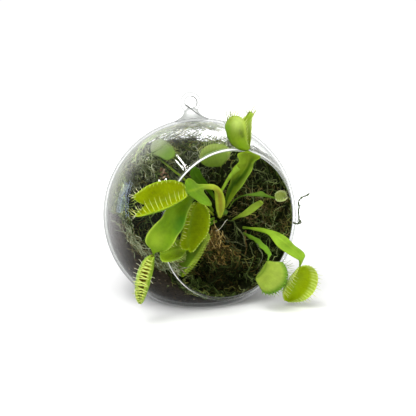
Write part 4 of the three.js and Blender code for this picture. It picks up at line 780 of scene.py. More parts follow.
def tint_material(name, rough=(0.34, 0.52), scale=900.0, bump=0.12, spread=0.16, subsurface=0.0, specular=0.5, fine=2600.0, distance=0.0004, gain=1.0):
    """Colour from the mesh's own tint with procedural mottling, fine relief and uneven gloss."""
    m, nt, out = material(name)
    b = node(nt, "ShaderNodeBsdfPrincipled")
    b.inputs["Specular IOR Level"].default_value = specular
    tint = node(nt, "ShaderNodeVertexColor", _layer_name="Tint")
    tc = node(nt, "ShaderNodeTexCoord")
    n1 = node(nt, "ShaderNodeTexNoise", Scale=scale, Detail=3.0, Roughness=0.6)
    n2 = node(nt, "ShaderNodeTexNoise", Scale=fine, Detail=4.0, Roughness=0.65)
    nt.links.new(tc.outputs["Object"], n1.inputs["Vector"])
    nt.links.new(tc.outputs["Object"], n2.inputs["Vector"])
    mr = node(nt, "ShaderNodeMapRange")
    mr.inputs["From Min"].default_value = 0.3
    mr.inputs["From Max"].default_value = 0.7
    mr.inputs["To Min"].default_value = (1 - spread) * gain
    mr.inputs["To Max"].default_value = (1 + spread) * gain
    nt.links.new(n1.outputs["Fac"], mr.inputs["Value"])
    mul = nt.nodes.new("ShaderNodeVectorMath")
    mul.operation = "SCALE"
    nt.links.new(tint.outputs["Color"], mul.inputs[0])
    nt.links.new(mr.outputs["Result"], mul.inputs["Scale"])
    nt.links.new(mul.outputs["Vector"], b.inputs["Base Color"])
    r = node(nt, "ShaderNodeMapRange")
    r.inputs["From Min"].default_value = 0.3
    r.inputs["From Max"].default_value = 0.7
    r.inputs["To Min"].default_value = rough[0]
    r.inputs["To Max"].default_value = rough[1]
    nt.links.new(n2.outputs["Fac"], r.inputs["Value"])
    nt.links.new(r.outputs["Result"], b.inputs["Roughness"])
    bp = node(nt, "ShaderNodeBump", Strength=bump, Distance=distance)
    nt.links.new(n2.outputs["Fac"], bp.inputs["Height"])
    nt.links.new(bp.outputs["Normal"], b.inputs["Normal"])
    if subsurface:
        b.inputs["Subsurface Weight"].default_value = subsurface
        b.inputs["Subsurface Radius"].default_value = (0.5, 1.0, 0.12)
        b.inputs["Subsurface Scale"].default_value = 0.0012
    nt.links.new(b.outputs["BSDF"], out.inputs["Surface"])
    return m


# long pale hairs: root (px, py, depth) and tip, seen from the front
HAIRS = {
    'leaf_top': ([((225.8, 124, 45), (223.6, 114, 46)), ((226.2, 121.5, 46), (225.2, 110.5, 47)), ((226.9, 119.5, 47), (226.0, 109, 48)), ((227.8, 118, 48), (226.4, 107, 50)),
                  ((229, 116.8, 49), (229.2, 107, 51)), ((230.4, 115.8, 50), (231.6, 108, 52)), ((232.2, 115.4, 50), (229.6, 110, 53)),
                  ((246.8, 114.4, 43), (242.6, 106.6, 44)), ((248.2, 113, 43), (245.4, 103.6, 44)), ((249.6, 112, 43), (248.4, 101.8, 44)), ((251, 111.8, 43), (251.6, 101.6, 44)),
                  ((252.4, 112.6, 43), (254.8, 105.2, 44)), ((253.4, 114, 43), (257, 109, 44))], (124, 130, 92), 0.22),
    'leaf_low_left': ([((139.8, 266, 61), (135.4, 262.8, 62)), ((138.6, 270, 61), (133.4, 268, 62)), ((137.6, 274, 61), (132.4, 271.8, 62)), ((136.8, 278, 61), (131.8, 276.6, 62)),
                       ((136.4, 282, 60), (132.4, 281, 61)), ((136, 286, 60), (132, 285.6, 61)), ((136, 290, 60), (133, 291, 61)), ((141.4, 262.6, 61), (138.4, 258.6, 62)),
                       ((151.4, 277.4, 61), (155.4, 278.4, 62)), ((151, 281, 61), (153.6, 284.2, 62))], (216, 216, 184), 0.16),
    'leaf_left': ([((134.8, 196.4, 68), (128.6, 194.2, 69)), ((134.6, 197, 68), (128, 196, 69)), ((136.4, 193.6, 69), (132.6, 190.2, 70)), ((138.6, 191.8, 70), (135, 187.8, 71)),
                   ((141.6, 189.8, 70), (139.6, 186, 71)), ((135.6, 216.2, 71), (131.6, 210.4, 72)), ((135.2, 216.4, 71), (130.4, 213.4, 72)), ((135, 216.6, 71), (130.6, 217, 72)), ((135.6, 216.8, 71), (132, 219.6, 72)),
                   ((139, 212.4, 68), (134.6, 206, 69)), ((141, 209.6, 66), (137.4, 204.2, 67))], (222, 220, 176), 0.14),
    'leaf_right_short': ([((284.4, 264.4, 39), (291.4, 259.6, 40)), ((285.8, 266.4, 39.4), (293.6, 262.6, 41)), ((286.8, 268.8, 39.6), (295.0, 265.6, 41)), ((287.4, 271.2, 39.8), (295.6, 269.4, 41)),
                          ((287.6, 273.8, 39.8), (295.4, 273.2, 41)), ((287.4, 276.4, 39.8), (294.6, 276.8, 41)), ((286.8, 279.0, 39.4), (293.4, 280.4, 41))], (150, 156, 124), 0.18),
    'leaf_right_short+foot': ([((262.8, 291.6, 33), (261.6, 294.8, 33)), ((265.8, 292.8, 34), (265.4, 295.8, 34)), ((268.8, 293.4, 35), (268.9, 296.4, 35)), ((271.8, 293.2, 36), (272.6, 296.0, 36)),
                               ((274.8, 292.2, 37), (276.2, 295.0, 37)), ((277.6, 290.8, 37.6), (279.6, 293.4, 37.6)), ((280.2, 289.0, 38), (282.8, 291.2, 38)), ((282.6, 286.6, 38.4), (285.6, 288.6, 38.4)), ((284.8, 283.6, 38.6), (288.2, 285.0, 38.6))], (104, 142, 40), 0.42),
    'leaf_right_long': ([((284.2, 293.4, 27.4), (288.6, 298.4, 27)), ((283.9, 290.8, 28.4), (289.4, 296.6, 28)), ((285.0, 288.2, 29), (291.2, 294.0, 29)), ((286.8, 285.6, 29.4), (292.6, 291.4, 29.6)),
                         ((289.0, 283.0, 29.6), (294.2, 288.0, 30)), ((291.2, 280.6, 29.8), (296.0, 285.0, 30)), ((293.2, 278.2, 29.8), (297.6, 281.8, 30)), ((295.2, 275.6, 29.4), (299.0, 278.8, 29.6))], (188, 200, 104), 0.27),
    'leaf_lower_front': ([((161.6, 245.6, 61), (160.6, 250.4, 62)), ((163.6, 245.0, 61), (163.2, 250.2, 62)), ((165.8, 244.6, 61), (165.8, 249.6, 62)), ((168.0, 244.2, 61), (168.6, 249.2, 62)), ((170.4, 243.8, 61), (171.4, 248.4, 62)),
                          ((172.8, 243.2, 60), (174.4, 247.4, 61)), ((175.2, 242.4, 59), (177.2, 246.0, 60))], (176, 186, 112), 0.30),
}


# narrow wings that part from the blade: outer and inner edge from top to foot
WINGS = {
    'leaf_top': ([((236.2, 165.2, 40), (240.0, 169.5, 36)), ((233.2, 169.4, 37), (236.2, 172.6, 34)), ((230.6, 172.6, 34), (233.2, 175.2, 31.5)), ((227.2, 177.6, 31), (229.6, 179.6, 29)),
                  ((224.2, 183.0, 28), (226.3, 184.8, 26.5)), ((222.2, 187.2, 25), (224.0, 188.8, 24)), ((220.4, 191.4, 22.5), (221.6, 192.6, 22)), ((219.2, 195.6, 20), (219.8, 196.2, 20))], (134, 166, 48)),
}


def wing_piece(parts, name):
    rows, col = WINGS[name]
    A, B = curve(np.array([seen_at(*a) for a, b in rows])), curve(np.array([seen_at(*b) for a, b in rows]))
    t = np.linspace(0, 1, 41)
    s = np.linspace(0, 1, 9)
    P = A(t)[:, None] * (1 - s)[None, :, None] + B(t)[:, None] * s[None, :, None]
    P = P + back * (0.5 * np.sin(math.pi * s))[None, :, None]
    half = 0.22 + 0 * P[..., 0]
    V, Q = closed_sheet(P, half, half)
    n1 = value_noise(P.reshape(-1, 3), 0.4, 5).reshape(P.shape[:2])
    tint = srgb(*col) * (1 + 0.2 * n1)[..., None] * (1 - 0.25 * s)[None, :, None]
    place = np.concatenate([P.reshape(-1, 3)] * 2) * 0.3
    parts.add(V, Q, None, np.concatenate([tint.reshape(-1, 3)] * 2), place)


def hair_piece(parts, name, rng):
    roots, col, r = HAIRS[name]
    paths = []
    t = np.linspace(0, 1, 9)[:, None]
    for a, b in roots:
        p, q = seen_at(*a), seen_at(*b)
        bow = np.cross(q - p, back) * rng.normal(0, 0.10)
        paths.append(p + (q - p) * t + bow * np.sin(math.pi * t) - unit(q - p) * 0.4)
    paths = np.array(paths)
    rad = r * (1 - 0.55 * t[:, 0])[None] * rng.uniform(0.85, 1.1, (len(paths), 1))
    V, Q, T = tubes(paths, rad, 4)
    parts.add(V, Q, T, srgb(*col), np.repeat(paths.reshape(-1, 3), 4, axis=0) * 0.2)


leaf_mat = tint_material("leaf_flesh", rough=(0.40, 0.55), scale=700, bump=0.10, spread=0.07, subsurface=0.2, specular=0.12, fine=3200, distance=0.00025)
GREEN = {}
for i, (name, spec) in enumerate(LEAVES.items()):
    rng = np.random.default_rng(100 + i)
    parts = Parts()
    stalk_piece(parts, spec, LOOK[name], rng, 72, 16)
    if 'trap' in spec:
        trap_piece(parts, spec['trap'], LOOK[name], rng, 54, 16)
    for key in HAIRS:
        if key.split("+")[0] == name:
            hair_piece(parts, key, rng)
    if name in WINGS:
        wing_piece(parts, name)
    ob = parts.build(name + "_flesh")
    ob.data.materials.append(leaf_mat)
    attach(ob, "root")
    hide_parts(name)
    GREEN[name] = ob


# ------------------------------------------------------------------ solids turned into fine meshes
def fine_copy(name, voxel, smooth=2):
    """World-space mesh of a CAD node at an even fine pitch: vertices in mm and its quads and triangles."""
    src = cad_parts[name]
    me = src.data.copy()
    ob = bpy.data.objects.new("tmp", me)
    ob.matrix_world = src.matrix_world.copy()
    scene.collection.objects.link(ob)
    md = ob.modifiers.new("r", "REMESH")
    md.mode = "VOXEL"
    md.voxel_size = voxel * MM
    if smooth:
        sm = ob.modifiers.new("s", "SMOOTH")
        sm.factor = 0.5
        sm.iterations = smooth
    dg = bpy.context.evaluated_depsgraph_get()
    out = bpy.data.meshes.new_from_object(ob.evaluated_get(dg))
    M = np.array(ob.matrix_world)
    V = np.empty(len(out.vertices) * 3)
    out.vertices.foreach_get("co", V)
    V = V.reshape(-1, 3) @ M[:3, :3].T + M[:3, 3]
    faces = [tuple(p.vertices) for p in out.polygons]
    Q = np.array([f for f in faces if len(f) == 4], int).reshape(-1, 4)
    T = np.array([f for f in faces if len(f) == 3], int).reshape(-1, 3)
    bpy.data.objects.remove(ob)
    bpy.data.meshes.remove(out)
    return V / MM, Q, T


def vertex_normals(V, Q, T):
    n = np.zeros_like(V)
    for F in (Q, T):
        if len(F):
            fn = np.cross(V[F[:, 1]] - V[F[:, 0]], V[F[:, 2]] - V[F[:, 0]])
            if F.shape[1] == 4:
                fn = np.cross(V[F[:, 2]] - V[F[:, 0]], V[F[:, 3]] - V[F[:, 1]])
            for k in range(F.shape[1]):
                np.add.at(n, F[:, k], fn)
    return unit(n)


def keep_inside(P, r=0.0):
    """Points pushed inwards to stay off the inner face of the glass and above its base."""
    d = P - CENTRE
    ln = np.linalg.norm(d, axis=-1, keepdims=True)
    lim = FILL_MAX_R - r
    P = np.where(ln > lim, CENTRE + d * (lim / np.maximum(ln, 1e-6)), P)
    P[..., 2] = np.maximum(P[..., 2], 2.5 + r)
    return P


def mixed(t, a, b):
    t = np.asarray(t)[..., None]
    return a * (1 - t) + b * t


# ------------------------------------------------------------------ soil
SOIL_TINTS = np.array([srgb(62, 52, 38), srgb(46, 38, 27), srgb(86, 73, 54), srgb(122, 108, 84), srgb(32, 27, 20)])
V, Q, T = fine_copy("potting_soil", 1.2)
N = vertex_normals(V, Q, T)
lump = value_noise(V, 0.22, 1) * 0.5 + value_noise(V, 0.55, 2) * 0.45 + value_noise(V, 1.1, 3) * 0.35
V = keep_inside(V + N * (lump * 0.55 - 0.15)[:, None])
k = 0.5 + 0.5 * np.clip(value_noise(V, 0.8, 4) + 0.6 * value_noise(V, 1.7, 5), -1, 1)
big = 0.5 + 0.5 * value_noise(V, 0.09, 6)
soil = Parts()
soil.add(V, Q, T, mixed(k, SOIL_TINTS[4], SOIL_TINTS[0]) * (0.75 + 0.5 * big)[:, None])
# loose crumbs of bark, peat and grit against the glass
rng = np.random.default_rng(31)
ico_v = []
g = (1 + 5 ** 0.5) / 2
for a, b in ((-1, g), (1, g), (-1, -g), (1, -g)):
    ico_v += [(a, b, 0), (0, a, b), (b, 0, a)]
ico_v = unit(np.array(ico_v, float))
ico_f = []
for i in range(12):
    for j in range(i + 1, 12):
        for l in range(j + 1, 12):
            p, q, r = ico_v[i], ico_v[j], ico_v[l]
            if max(np.linalg.norm(p - q), np.linalg.norm(q - r), np.linalg.norm(p - r)) < 1.1:
                ico_f.append((i, j, l) if np.dot(np.cross(q - p, r - p), p) > 0 else (i, l, j))
ico_f = np.array(ico_f)
n_crumbs = 1900
pick = rng.integers(0, len(V), n_crumbs * 3)
pick = pick[np.linalg.norm(V[pick] - CENTRE, axis=1) > 55.0][:n_crumbs]
for i in pick:
    s = rng.uniform(0.35, 1.15) * np.array([rng.uniform(0.7, 1.5), rng.uniform(0.6, 1.1), rng.uniform(0.5, 0.9)])
    A = unit(rng.normal(size=(3, 3)))
    A[1] = unit(A[1] - A[0] * np.dot(A[0], A[1]))
    A[2] = np.cross(A[0], A[1])
    shape = ico_v * (1 + rng.uniform(-0.25, 0.25, (12, 1)))
    P = V[i] - unit(V[i] - CENTRE) * rng.uniform(0.1, 0.7) + (shape * s) @ A
    P = keep_inside(P)
    c = SOIL_TINTS[rng.choice(5, p=[0.28, 0.20, 0.22, 0.12, 0.18])] * rng.uniform(0.7, 1.25)
    soil.add(P, None, ico_f, c)
soil_mat = tint_material("soil", rough=(0.8, 0.98), scale=600, bump=0.6, spread=0.35, specular=0.2, fine=2200, distance=0.0008)
ob = soil.build("soil")
ob.data.materials.append(soil_mat)
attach(ob, "root")
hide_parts("potting_soil")

# ------------------------------------------------------------------ moss
leaf_P, leaf_F = [], []
for name in LEAVES:
    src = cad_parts[name]
    A = np.array(src.matrix_world)
    co = np.empty(len(src.data.vertices) * 3)
    src.data.vertices.foreach_get("co", co)
    n0 = sum(map(len, leaf_P))
    leaf_P.append((co.reshape(-1, 3) @ A[:3, :3].T + A[:3, 3]) / MM)
    leaf_F += [tuple(i + n0 for i in p.vertices) for p in src.data.polygons]
leaf_bvh = BVHTree.FromPolygons([Vector(p) for p in np.concatenate(leaf_P)], leaf_F)


def off_leaves(P):
    """Distance in mm from each point to the nearest leaf, up to 8."""
    flat = np.asarray(P).reshape(-1, 3)
    out = np.full(len(flat), 8.0)
    for i, p in enumerate(flat):
        d = leaf_bvh.find_nearest(Vector(p), 8.0)[3]
        if d is not None:
            out[i] = d
    return out.reshape(np.shape(P)[:-1])


moss_V, moss_Q, moss_T = fine_copy("moss_bed", 1.4)
moss_N = vertex_normals(moss_V, moss_Q, moss_T)
on_glass = smooth01((np.linalg.norm(moss_V - CENTRE, axis=1) - 55.0) / 2.0)
hump = value_noise(moss_V, 0.085, 11) * 1.5 + value_noise(moss_V, 0.2, 12) * 1.3 + value_noise(moss_V, 0.5, 13) * 0.8
move = np.where(on_glass > 0.5, hump * 0.35 - 0.4, hump * 1.15 - 1.3)
move = np.where(off_leaves(moss_V) < 4.5, np.minimum(move, -0.6), move)
base_V = moss_V + moss_N * move[:, None]
base_V[:, 2] = np.minimum(base_V[:, 2], 94.5 + 1.1 * hump)
# along the right of the mouth the bed bulges up to the rim
round_mouth = np.hypot(base_V[:, 0], base_V[:, 2] - CENTRE[2])
angle = np.degrees(np.arctan2(base_V[:, 2] - CENTRE[2], base_V[:, 0]))
bulge = smooth01((round_mouth - 38) / 8) * smooth01((angle + 62) / 24) * smooth01((98 - angle) / 24) * smooth01((-2 - base_V[:, 1]) / 8) * smooth01((off_leaves(base_V) - 2) / 4)
base_V[:, 1] = np.maximum(base_V[:, 1] - 12 * bulge, np.minimum(base_V[:, 1], -36.5))
base_V = keep_inside(base_V, 0.3)
k = 0.5 + 0.5 * value_noise(base_V, 0.5, 14)
clumps = smooth01(0.5 + 0.9 * value_noise(base_V, 0.42, 15) + 0.5 * value_noise(base_V, 0.9, 16))
# the bed under the strands is near black, painted shade of the moss's depth; against the glass it is paler
base_tint = mixed(k, srgb(12, 14, 5), srgb(30, 34, 13))
base_tint = base_tint * (1 - on_glass)[:, None] + mixed(clumps, srgb(24, 29, 14), srgb(84, 92, 56)) * on_glass[:, None]
# the hollow's upper left is paler
upper = smooth01((base_V[:, 2] - 70) / 10.0) * smooth01((8 - base_V[:, 0]) / 12.0) * (1 - on_glass)
upper = np.maximum(upper, smooth01((base_V[:, 2] - 86) / 6.0))[:, None]
base_tint = base_tint * (1 - upper) + mixed(clumps, srgb(22, 26, 13), srgb(88, 95, 64)) * upper
# painted light: near the leaves in the upper part the bed is made much paler, so that it shows in the leaves' shade
painted_light_by_leaves = smooth01((7 - off_leaves(base_V)) / 4)[:, None] * upper * 0.7
base_tint = base_tint * (1 - painted_light_by_leaves) + mixed(k, srgb(120, 126, 96), srgb(170, 174, 146)) * painted_light_by_leaves
moss_base = new_object("moss_base", base_V, moss_Q, moss_T, base_tint, base_V * 0.1)
moss_mat = tint_material("moss", rough=(0.75, 0.95), scale=1500, bump=0.4, spread=0.3, specular=0.08, fine=3500, distance=0.0004)
moss_base.data.materials.append(moss_mat)
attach(moss_base, "root")
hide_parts("moss_bed")

tri = np.concatenate([moss_T, moss_Q[:, [0, 1, 2]], moss_Q[:, [0, 2, 3]]])
walk_V = base_V
bvh = BVHTree.FromPolygons([Vector(p) for p in walk_V], [tuple(map(int, t)) for t in tri])
tri_c = walk_V[tri].mean(axis=1)
tri_n = np.cross(walk_V[tri[:, 1]] - walk_V[tri[:, 0]], walk_V[tri[:, 2]] - walk_V[tri[:, 0]])
tri_a = np.linalg.norm(tri_n, axis=1) / 2
tri_n = unit(tri_n)
tri_r = np.linalg.norm(tri_c - CENTRE, axis=1)

# strand colours: dark olive, olive, grey green, pale tip, straw, brown
MOSS = np.array([srgb(42, 54, 18), srgb(68, 86, 34), srgb(96, 114, 60), srgb(140, 152, 96), srgb(122, 122, 62), srgb(74, 64, 28)])


def strands(rng, start, normal, n_seg, step, wander, rise, r0, colours, surface=bvh, lift=(0.2, 1.0), direction=None, pull=1.0, inside=True, knob=0.3):
    """Curly threads that creep over a surface. start, normal (n, 3); step, r0 (n,); returns paths, radii and colours."""
    n = len(start)
    d = rng.normal(size=(n, 3)) if direction is None else direction + rng.normal(size=(n, 3)) * 0.35
    d = unit(d - normal * (d * normal).sum(-1, keepdims=True))
    p = start + normal * lift[0]
    path = [p]
    spin = rng.normal(0, wander, n)
    h_end = rng.uniform(lift[0], lift[1], n)
    bow = rng.uniform(0, rise, n)
    nrm = normal
    for k in range(n_seg):
        spin = spin * 0.8 + rng.normal(0, wander * 0.7, n)
        side = np.cross(nrm, d)
        d = unit(d * np.cos(spin)[:, None] + side * np.sin(spin)[:, None] + rng.normal(size=(n, 3)) * 0.16)
        if direction is not None:
            d = unit(d + direction * 0.25 * pull)
        q = p + d * step[:, None]
        t = (k + 1) / n_seg
        h = lift[0] + (h_end - lift[0]) * t + bow * math.sin(math.pi * t)
        near = [surface.find_nearest(Vector(x)) for x in q]
        s = np.array([x[0] for x in near])
        m = np.array([x[1] for x in near])
        nrm = unit(nrm * 0.35 + m)
        target = s + nrm * h[:, None]
        q = q * 0.25 + target * 0.75
        d = unit(q - p)
        p = q
        path.append(p)
    P = np.stack(path, axis=1)
    if inside:
        P = keep_inside(P, 0.35)
    clear = off_leaves(P).min(axis=1) > 0.9
    P, r0, colours, n = P[clear], r0[clear], colours[clear], int(clear.sum())
    K = n_seg + 1
    t = np.linspace(0, 1, K)[None, :]
    rad = r0[:, None] * (1 - 0.6 * t ** 2.5) * (1 + knob * rng.uniform(-1, 1, (n, K)))
    c = colours[:, None, :] * (0.7 + 0.55 * t)[..., None] * rng.uniform(0.8, 1.2, (n, K, 1))
    return P, rad, c


def to_parts(parts, P, rad, c, sides=3, rng=None):
    roll = rng.uniform(0, 6.28, len(P)) if rng is not None else None
    V, Q, T = tubes(P, rad, sides, roll=roll)
    parts.add(V, Q, T, np.repeat(c.reshape(-1, 3), sides, axis=0), V * 0.15)


def sample(rng, mask, n):
    w = tri_a * mask
    i = rng.choice(len(tri), n, p=w / w.sum())
    a, b = rng.random(n), rng.random(n)
    f = a + b > 1
    a, b = np.where(f, 1 - a, a), np.where(f, 1 - b, b)
    v = walk_V[tri[i]]
    return v[:, 0] + (v[:, 1] - v[:, 0]) * a[:, None] + (v[:, 2] - v[:, 0]) * b[:, None], tri_n[i]


def moss_colours(rng, P, pale=0.0, brown=0.0):
    patch = value_noise(P, 0.07, 40)
    w = np.array([0.34, 0.32, 0.16, 0.04, 0.06, 0.08])
    i = rng.choice(6, len(P), p=w)
    go_brown = rng.random(len(P)) < (brown + 0.25 * np.clip(patch, 0, 1))
    i = np.where(go_brown, rng.choice([4, 5, 5], len(P)), i)
    go_pale = rng.random(len(P)) < pale
    i = np.where(go_pale, rng.choice([2, 3, 4], len(P)), i)
    return MOSS[i] * rng.uniform(0.65, 1.2, (len(P), 1))


def lit_patch(P):
    """Painted light: the moss beside the upper left trap is made paler, so that it shows in the trap's shade."""
    return 1 + 1.8 * np.exp(-((P - np.array([-34.0, 6.0, 92.0])) ** 2).sum(-1) / 120)[..., None]


in_glass = tri_r > 56.2
dish = (~in_glass) & (tri_c[:, 1] < -4)
pieces = {}

# the dish that shows through the mouth: low threads, then fewer, thicker and paler ones that stand off them; the low
# ones are made darker, painted shade of the moss's depth
rng = np.random.default_rng(51)
front = Parts()
tips = Parts()
for part, count, seg, st, wan, rise, r, lift, gain, pale, barbs in (
        (front, 650, 8, (1.2, 1.9), 0.30, 1.0, (0.24, 0.40), (0.0, 0.6), 0.35, 0.0, 0),
        (front, 1100, 9, (0.9, 1.5), 0.28, 2.2, (0.18, 0.30), (0.2, 2.2), 0.80, 0.06, 0),
        (tips, 620, 11, (0.8, 1.3), 0.36, 3.8, (0.15, 0.26), (0.6, 3.8), 1.25, 0.34, 4),
        (tips, 150, 15, (1.1, 1.7), 0.26, 4.2, (0.22, 0.36), (1.0, 4.6), 1.35, 0.42, 3)):
    s, nrm = sample(rng, dish, count)
    P, rad, c = strands(rng, s, nrm, seg, rng.uniform(*st, count), wan, rise, rng.uniform(*r, count),
                        moss_colours(rng, s, pale=pale, brown=0.05 + 0.6 * np.exp(-(s[:, 0] - 2) ** 2 / 120 - (s[:, 2] - 22) ** 2 / 160)), lift=lift)
    # painted shade: threads darker deeper in the dish, low down and in two spots under the plant, and painted light at
    # the upper right
    painted_dish_shade = 0.45 + 0.55 * smooth01((P[..., 1] + 8) / -16.0)
    painted_dish_shade = painted_dish_shade * (0.52 + 0.48 * smooth01((P[..., 2] - 9) / 16.0)) * (1 - 0.5 * np.exp(-((P[..., 0] - 19) ** 2 + (P[..., 2] - 34) ** 2) / 150.0))
    painted_dish_shade = painted_dish_shade * (1 - 0.6 * np.exp(-((P[..., 0] - 10) ** 2 + (P[..., 2] - 48) ** 2) / 110.0))
    painted_dish_shade = painted_dish_shade * (1 + 0.35 * smooth01((P[..., 0] - 14) / 10) * smooth01((P[..., 2] - 60) / 10))
    c = c * gain * painted_dish_shade[..., None]
    to_parts(part, P, rad, c, 3, rng)
    if barbs:
        # short leafy points along the stems
        i = np.repeat(np.arange(len(P)), barbs)
        k = rng.integers(1, seg, len(i))
        root = P[i, k]
        along = unit(P[i, k + 1] - P[i, k])
        out = unit(along * 0.6 + unit(rng.normal(size=root.shape)))
        ln = rng.uniform(0.7, 1.9, (len(i), 1))
        B = np.stack([root, root + out * ln * 0.5, root + unit(out + along * 0.5) * ln], 1)
        B = keep_inside(B, 0.35)
        rb = rad[i, k][:, None] * np.array([0.85, 0.7, 0.3])[None]
        to_parts(part, B, rb, np.repeat(c[i, k][:, None], 3, 1) * rng.uniform(0.8, 1.4, (len(i), 1, 1)), 3, rng)
pieces["moss_front"] = front
# fine tan curls right of the plant
curl_at = dish & (tri_c[:, 0] > 12) & (tri_c[:, 2] > 42) & (tri_c[:, 2] < 66)
s, nrm = sample(rng, curl_at, 190)
TAN = np.array([srgb(118, 104, 60), srgb(98, 86, 46), srgb(144, 132, 88), srgb(86, 78, 40)])
P, rad, c = strands(rng, s, nrm, 13, rng.uniform(0.6, 1.0, 190), 0.60, 2.4, rng.uniform(0.15, 0.24, 190), TAN[rng.integers(0, 4, 190)] * rng.uniform(0.5, 1.3, (190, 1)), lift=(0.8, 3.4))
to_parts(tips, P, rad, c, 3, rng)

# a few thick old stems lie across the hollow below the plant
STEMS = [((224, 234), (231, 244), (241, 251)), ((231, 250), (240, 252), (251, 262)), ((245, 231), (246, 245), (245, 258)), ((226, 241), (236, 243), (248, 246)), ((236, 226), (243, 236), (247, 249)),
         ((222, 262), (232, 264), (245, 274)), ((205, 270), (214, 262), (226, 262)), ((214, 276), (226, 270), (240, 272)), ((236, 256), (244, 262), (256, 264)), ((208, 279), (219, 283), (232, 280)),
         ((240, 215), (250, 219), (263, 214)), ((262, 222), (272, 226), (284, 222)), ((262, 176), (268, 184), (266, 194)), ((276, 170), (281, 181), (279, 193)), ((228, 252), (234, 258), (236, 270)), ((256, 240), (262, 256), (258, 268))]
rs = np.random.default_rng(57)
for j, pts in enumerate(STEMS):
    path = []
    f = curve(np.array([(x, y, 0) for x, y in pts], float))
    for t in np.linspace(0, 1, 26):
        x, y, _ = f(np.array([t]))[0]
        o = cam_pos / MM
        dd = unit(seen_at(x + 0.8 * math.sin(9 * t + j), y + 0.8 * math.cos(8 * t + 2 * j), 0) - o)
        hit = bvh.ray_cast(Vector(o), Vector(dd))
        if hit[0] is not None:
            path.append(np.array(hit[0]) - dd * (1.0 + 1.6 * math.sin(math.pi * t)))
    if len(path) < 12:
        continue
    path = keep_inside(np.array(path), 0.4)
    path[1:-1] = (path[:-2] + path[1:-1] + path[2:]) / 3
    path[1:-1] = (path[:-2] + path[1:-1] + path[2:]) / 3
    if off_leaves(path).min() < 0.8:
        path = path[off_leaves(path) > 0.8]
        if len(path) < 8:
            continue
    n = len(path)
    col = (srgb(104, 112, 74), srgb(84, 92, 52), srgb(110, 92, 54), srgb(124, 130, 96))[j % 4]
    to_parts(tips, path[None], (rs.uniform(0.42, 0.62) * (1 - 0.5 * np.linspace(0, 1, n)) * (1 + 0.25 * rs.uniform(-1, 1, n)))[None], (np.ones((n, 3)) * col * rs.uniform(0.6, 1.2, (n, 1)))[None], 5, rs)
pieces["moss_tips"] = tips

# against the glass, all round
for key, mask, count in (("moss_left", in_glass & (tri_c[:, 0] < 0) & (tri_c[:, 1] < 30), 1550),
                         ("moss_right", in_glass & (tri_c[:, 0] >= 0) & (tri_c[:, 1] < 30), 960),
                         ("moss_back", in_glass & (tri_c[:, 1] >= 30), 530),
                         ("moss_top", (~in_glass) & (~dish), 720)):
    part = Parts()
    s, nrm = sample(rng, mask, count)
    P, rad, c = strands(rng, s, nrm, 9, rng.uniform(0.8, 1.5, count), 0.80, 0.5, rng.uniform(0.20, 0.38, count),
                        moss_colours(rng, s, pale=0.14, brown=0.03), lift=(0.1, 0.5))
    bright = (1.35 + 0.35 * smooth01((P[..., 2] - 60) / 20.0)) if key != "moss_right" else 1.25 + 0 * P[..., 2]
    to_parts(part, P, rad, c * rng.uniform(0.55, 1.25, (len(P), 1, 1)) * bright[..., None] * lit_patch(P) ** (0.1 if key == "moss_left" else 0.8), 3, rng)
    pieces[key] = part


def climbing(rng, n, az, el0, el1, r0, depth, pale, sway=0.10, K=10):
    """Threads that climb the inner face of the glass between two elevations (degrees about the globe's centre)."""
    paths = []
    for i in range(n):
        a0 = math.radians(rng.uniform(*az))
        e0, e1 = math.radians(rng.uniform(*el0)), math.radians(rng.uniform(*el1))
        daz, ph, fr = rng.normal(0, sway), rng.uniform(0, 6.28), rng.uniform(4, 9)
        off = abs(rng.normal(0, depth))
        path = []
        for k in range(K):
            t = k / (K - 1)
            e = e0 + (e1 - e0) * t
            a = a0 + daz * t + 0.05 * math.sin(ph + fr * t) / max(0.3, math.cos(e))
            r = FILL_MAX_R - 0.5 - off * (0.4 + 0.6 * math.sin(2.2 * t + ph) ** 2)
            path.append(CENTRE + r * np.array([math.cos(e) * math.cos(a), math.cos(e) * math.sin(a), math.sin(e)]))
        paths.append(path)
    paths = np.array(paths)
    paths = paths[off_leaves(paths).min(axis=1) > 3.5]
    n = len(paths)
    rads = rng.uniform(*r0, (n, 1)) * np.linspace(1, 0.6, K)[None, :] * (1 + 0.3 * rng.uniform(-1, 1, (n, K)))
    cols = moss_colours(rng, paths[:, 0], pale=pale)[:, None, :] * rng.uniform(0.8, 1.2, (n, K, 1)) * (1 + 1.3 * smooth01((paths[..., 2:] - 80) / 14)) * lit_patch(paths) ** 0.1
    return paths, rads, cols


# loose threads pressed on the glass above the bed, with gaps between them
rng = np.random.default_rng(61)
part = pieces["moss_top"]
for args in ((150, (66, 172), (44, 52), (54, 72), (0.14, 0.30), 0.6, 0.75),
             (120, (24, 140), (60, 70), (72, 84), (0.20, 0.36), 0.5, 0.9),
             (40, (172, 205), (38, 46), (50, 60), (0.14, 0.28), 0.6, 0.6),
             (90, (20, 66), (30, 42), (42, 56), (0.18, 0.36), 1.2, 0.25),
             (200, (-42, 24), (14, 26), (27, 40), (0.20, 0.40), 1.6, 0.15)):
    to_parts(part, *climbing(rng, *args), 3, rng)

# fine grey green threads over the hollow's upper left, behind the glass
starts, normals = [], []
for k in range(900):
    x, y = (rng.uniform(120, 208), rng.uniform(136, 196)) if len(starts) < 360 else (rng.uniform(130, 160), rng.uniform(136, 172))
    if x + 0.9 * (y - 196) > 196 or (155 < x < 173 and 164 < y < 186) or len(starts) == 410:
        continue
    o = cam_pos / MM
    dd = unit(seen_at(x, y, 0) - o)
    hit = bvh.ray_cast(Vector(o), Vector(dd))
    if hit[0] is not None:
        starts.append(tuple(hit[0]))
        normals.append(tuple(hit[1]))
n = len(starts)
GREY = np.array([srgb(96, 104, 72), srgb(120, 128, 94), srgb(76, 84, 54), srgb(144, 148, 120), srgb(104, 106, 66)])
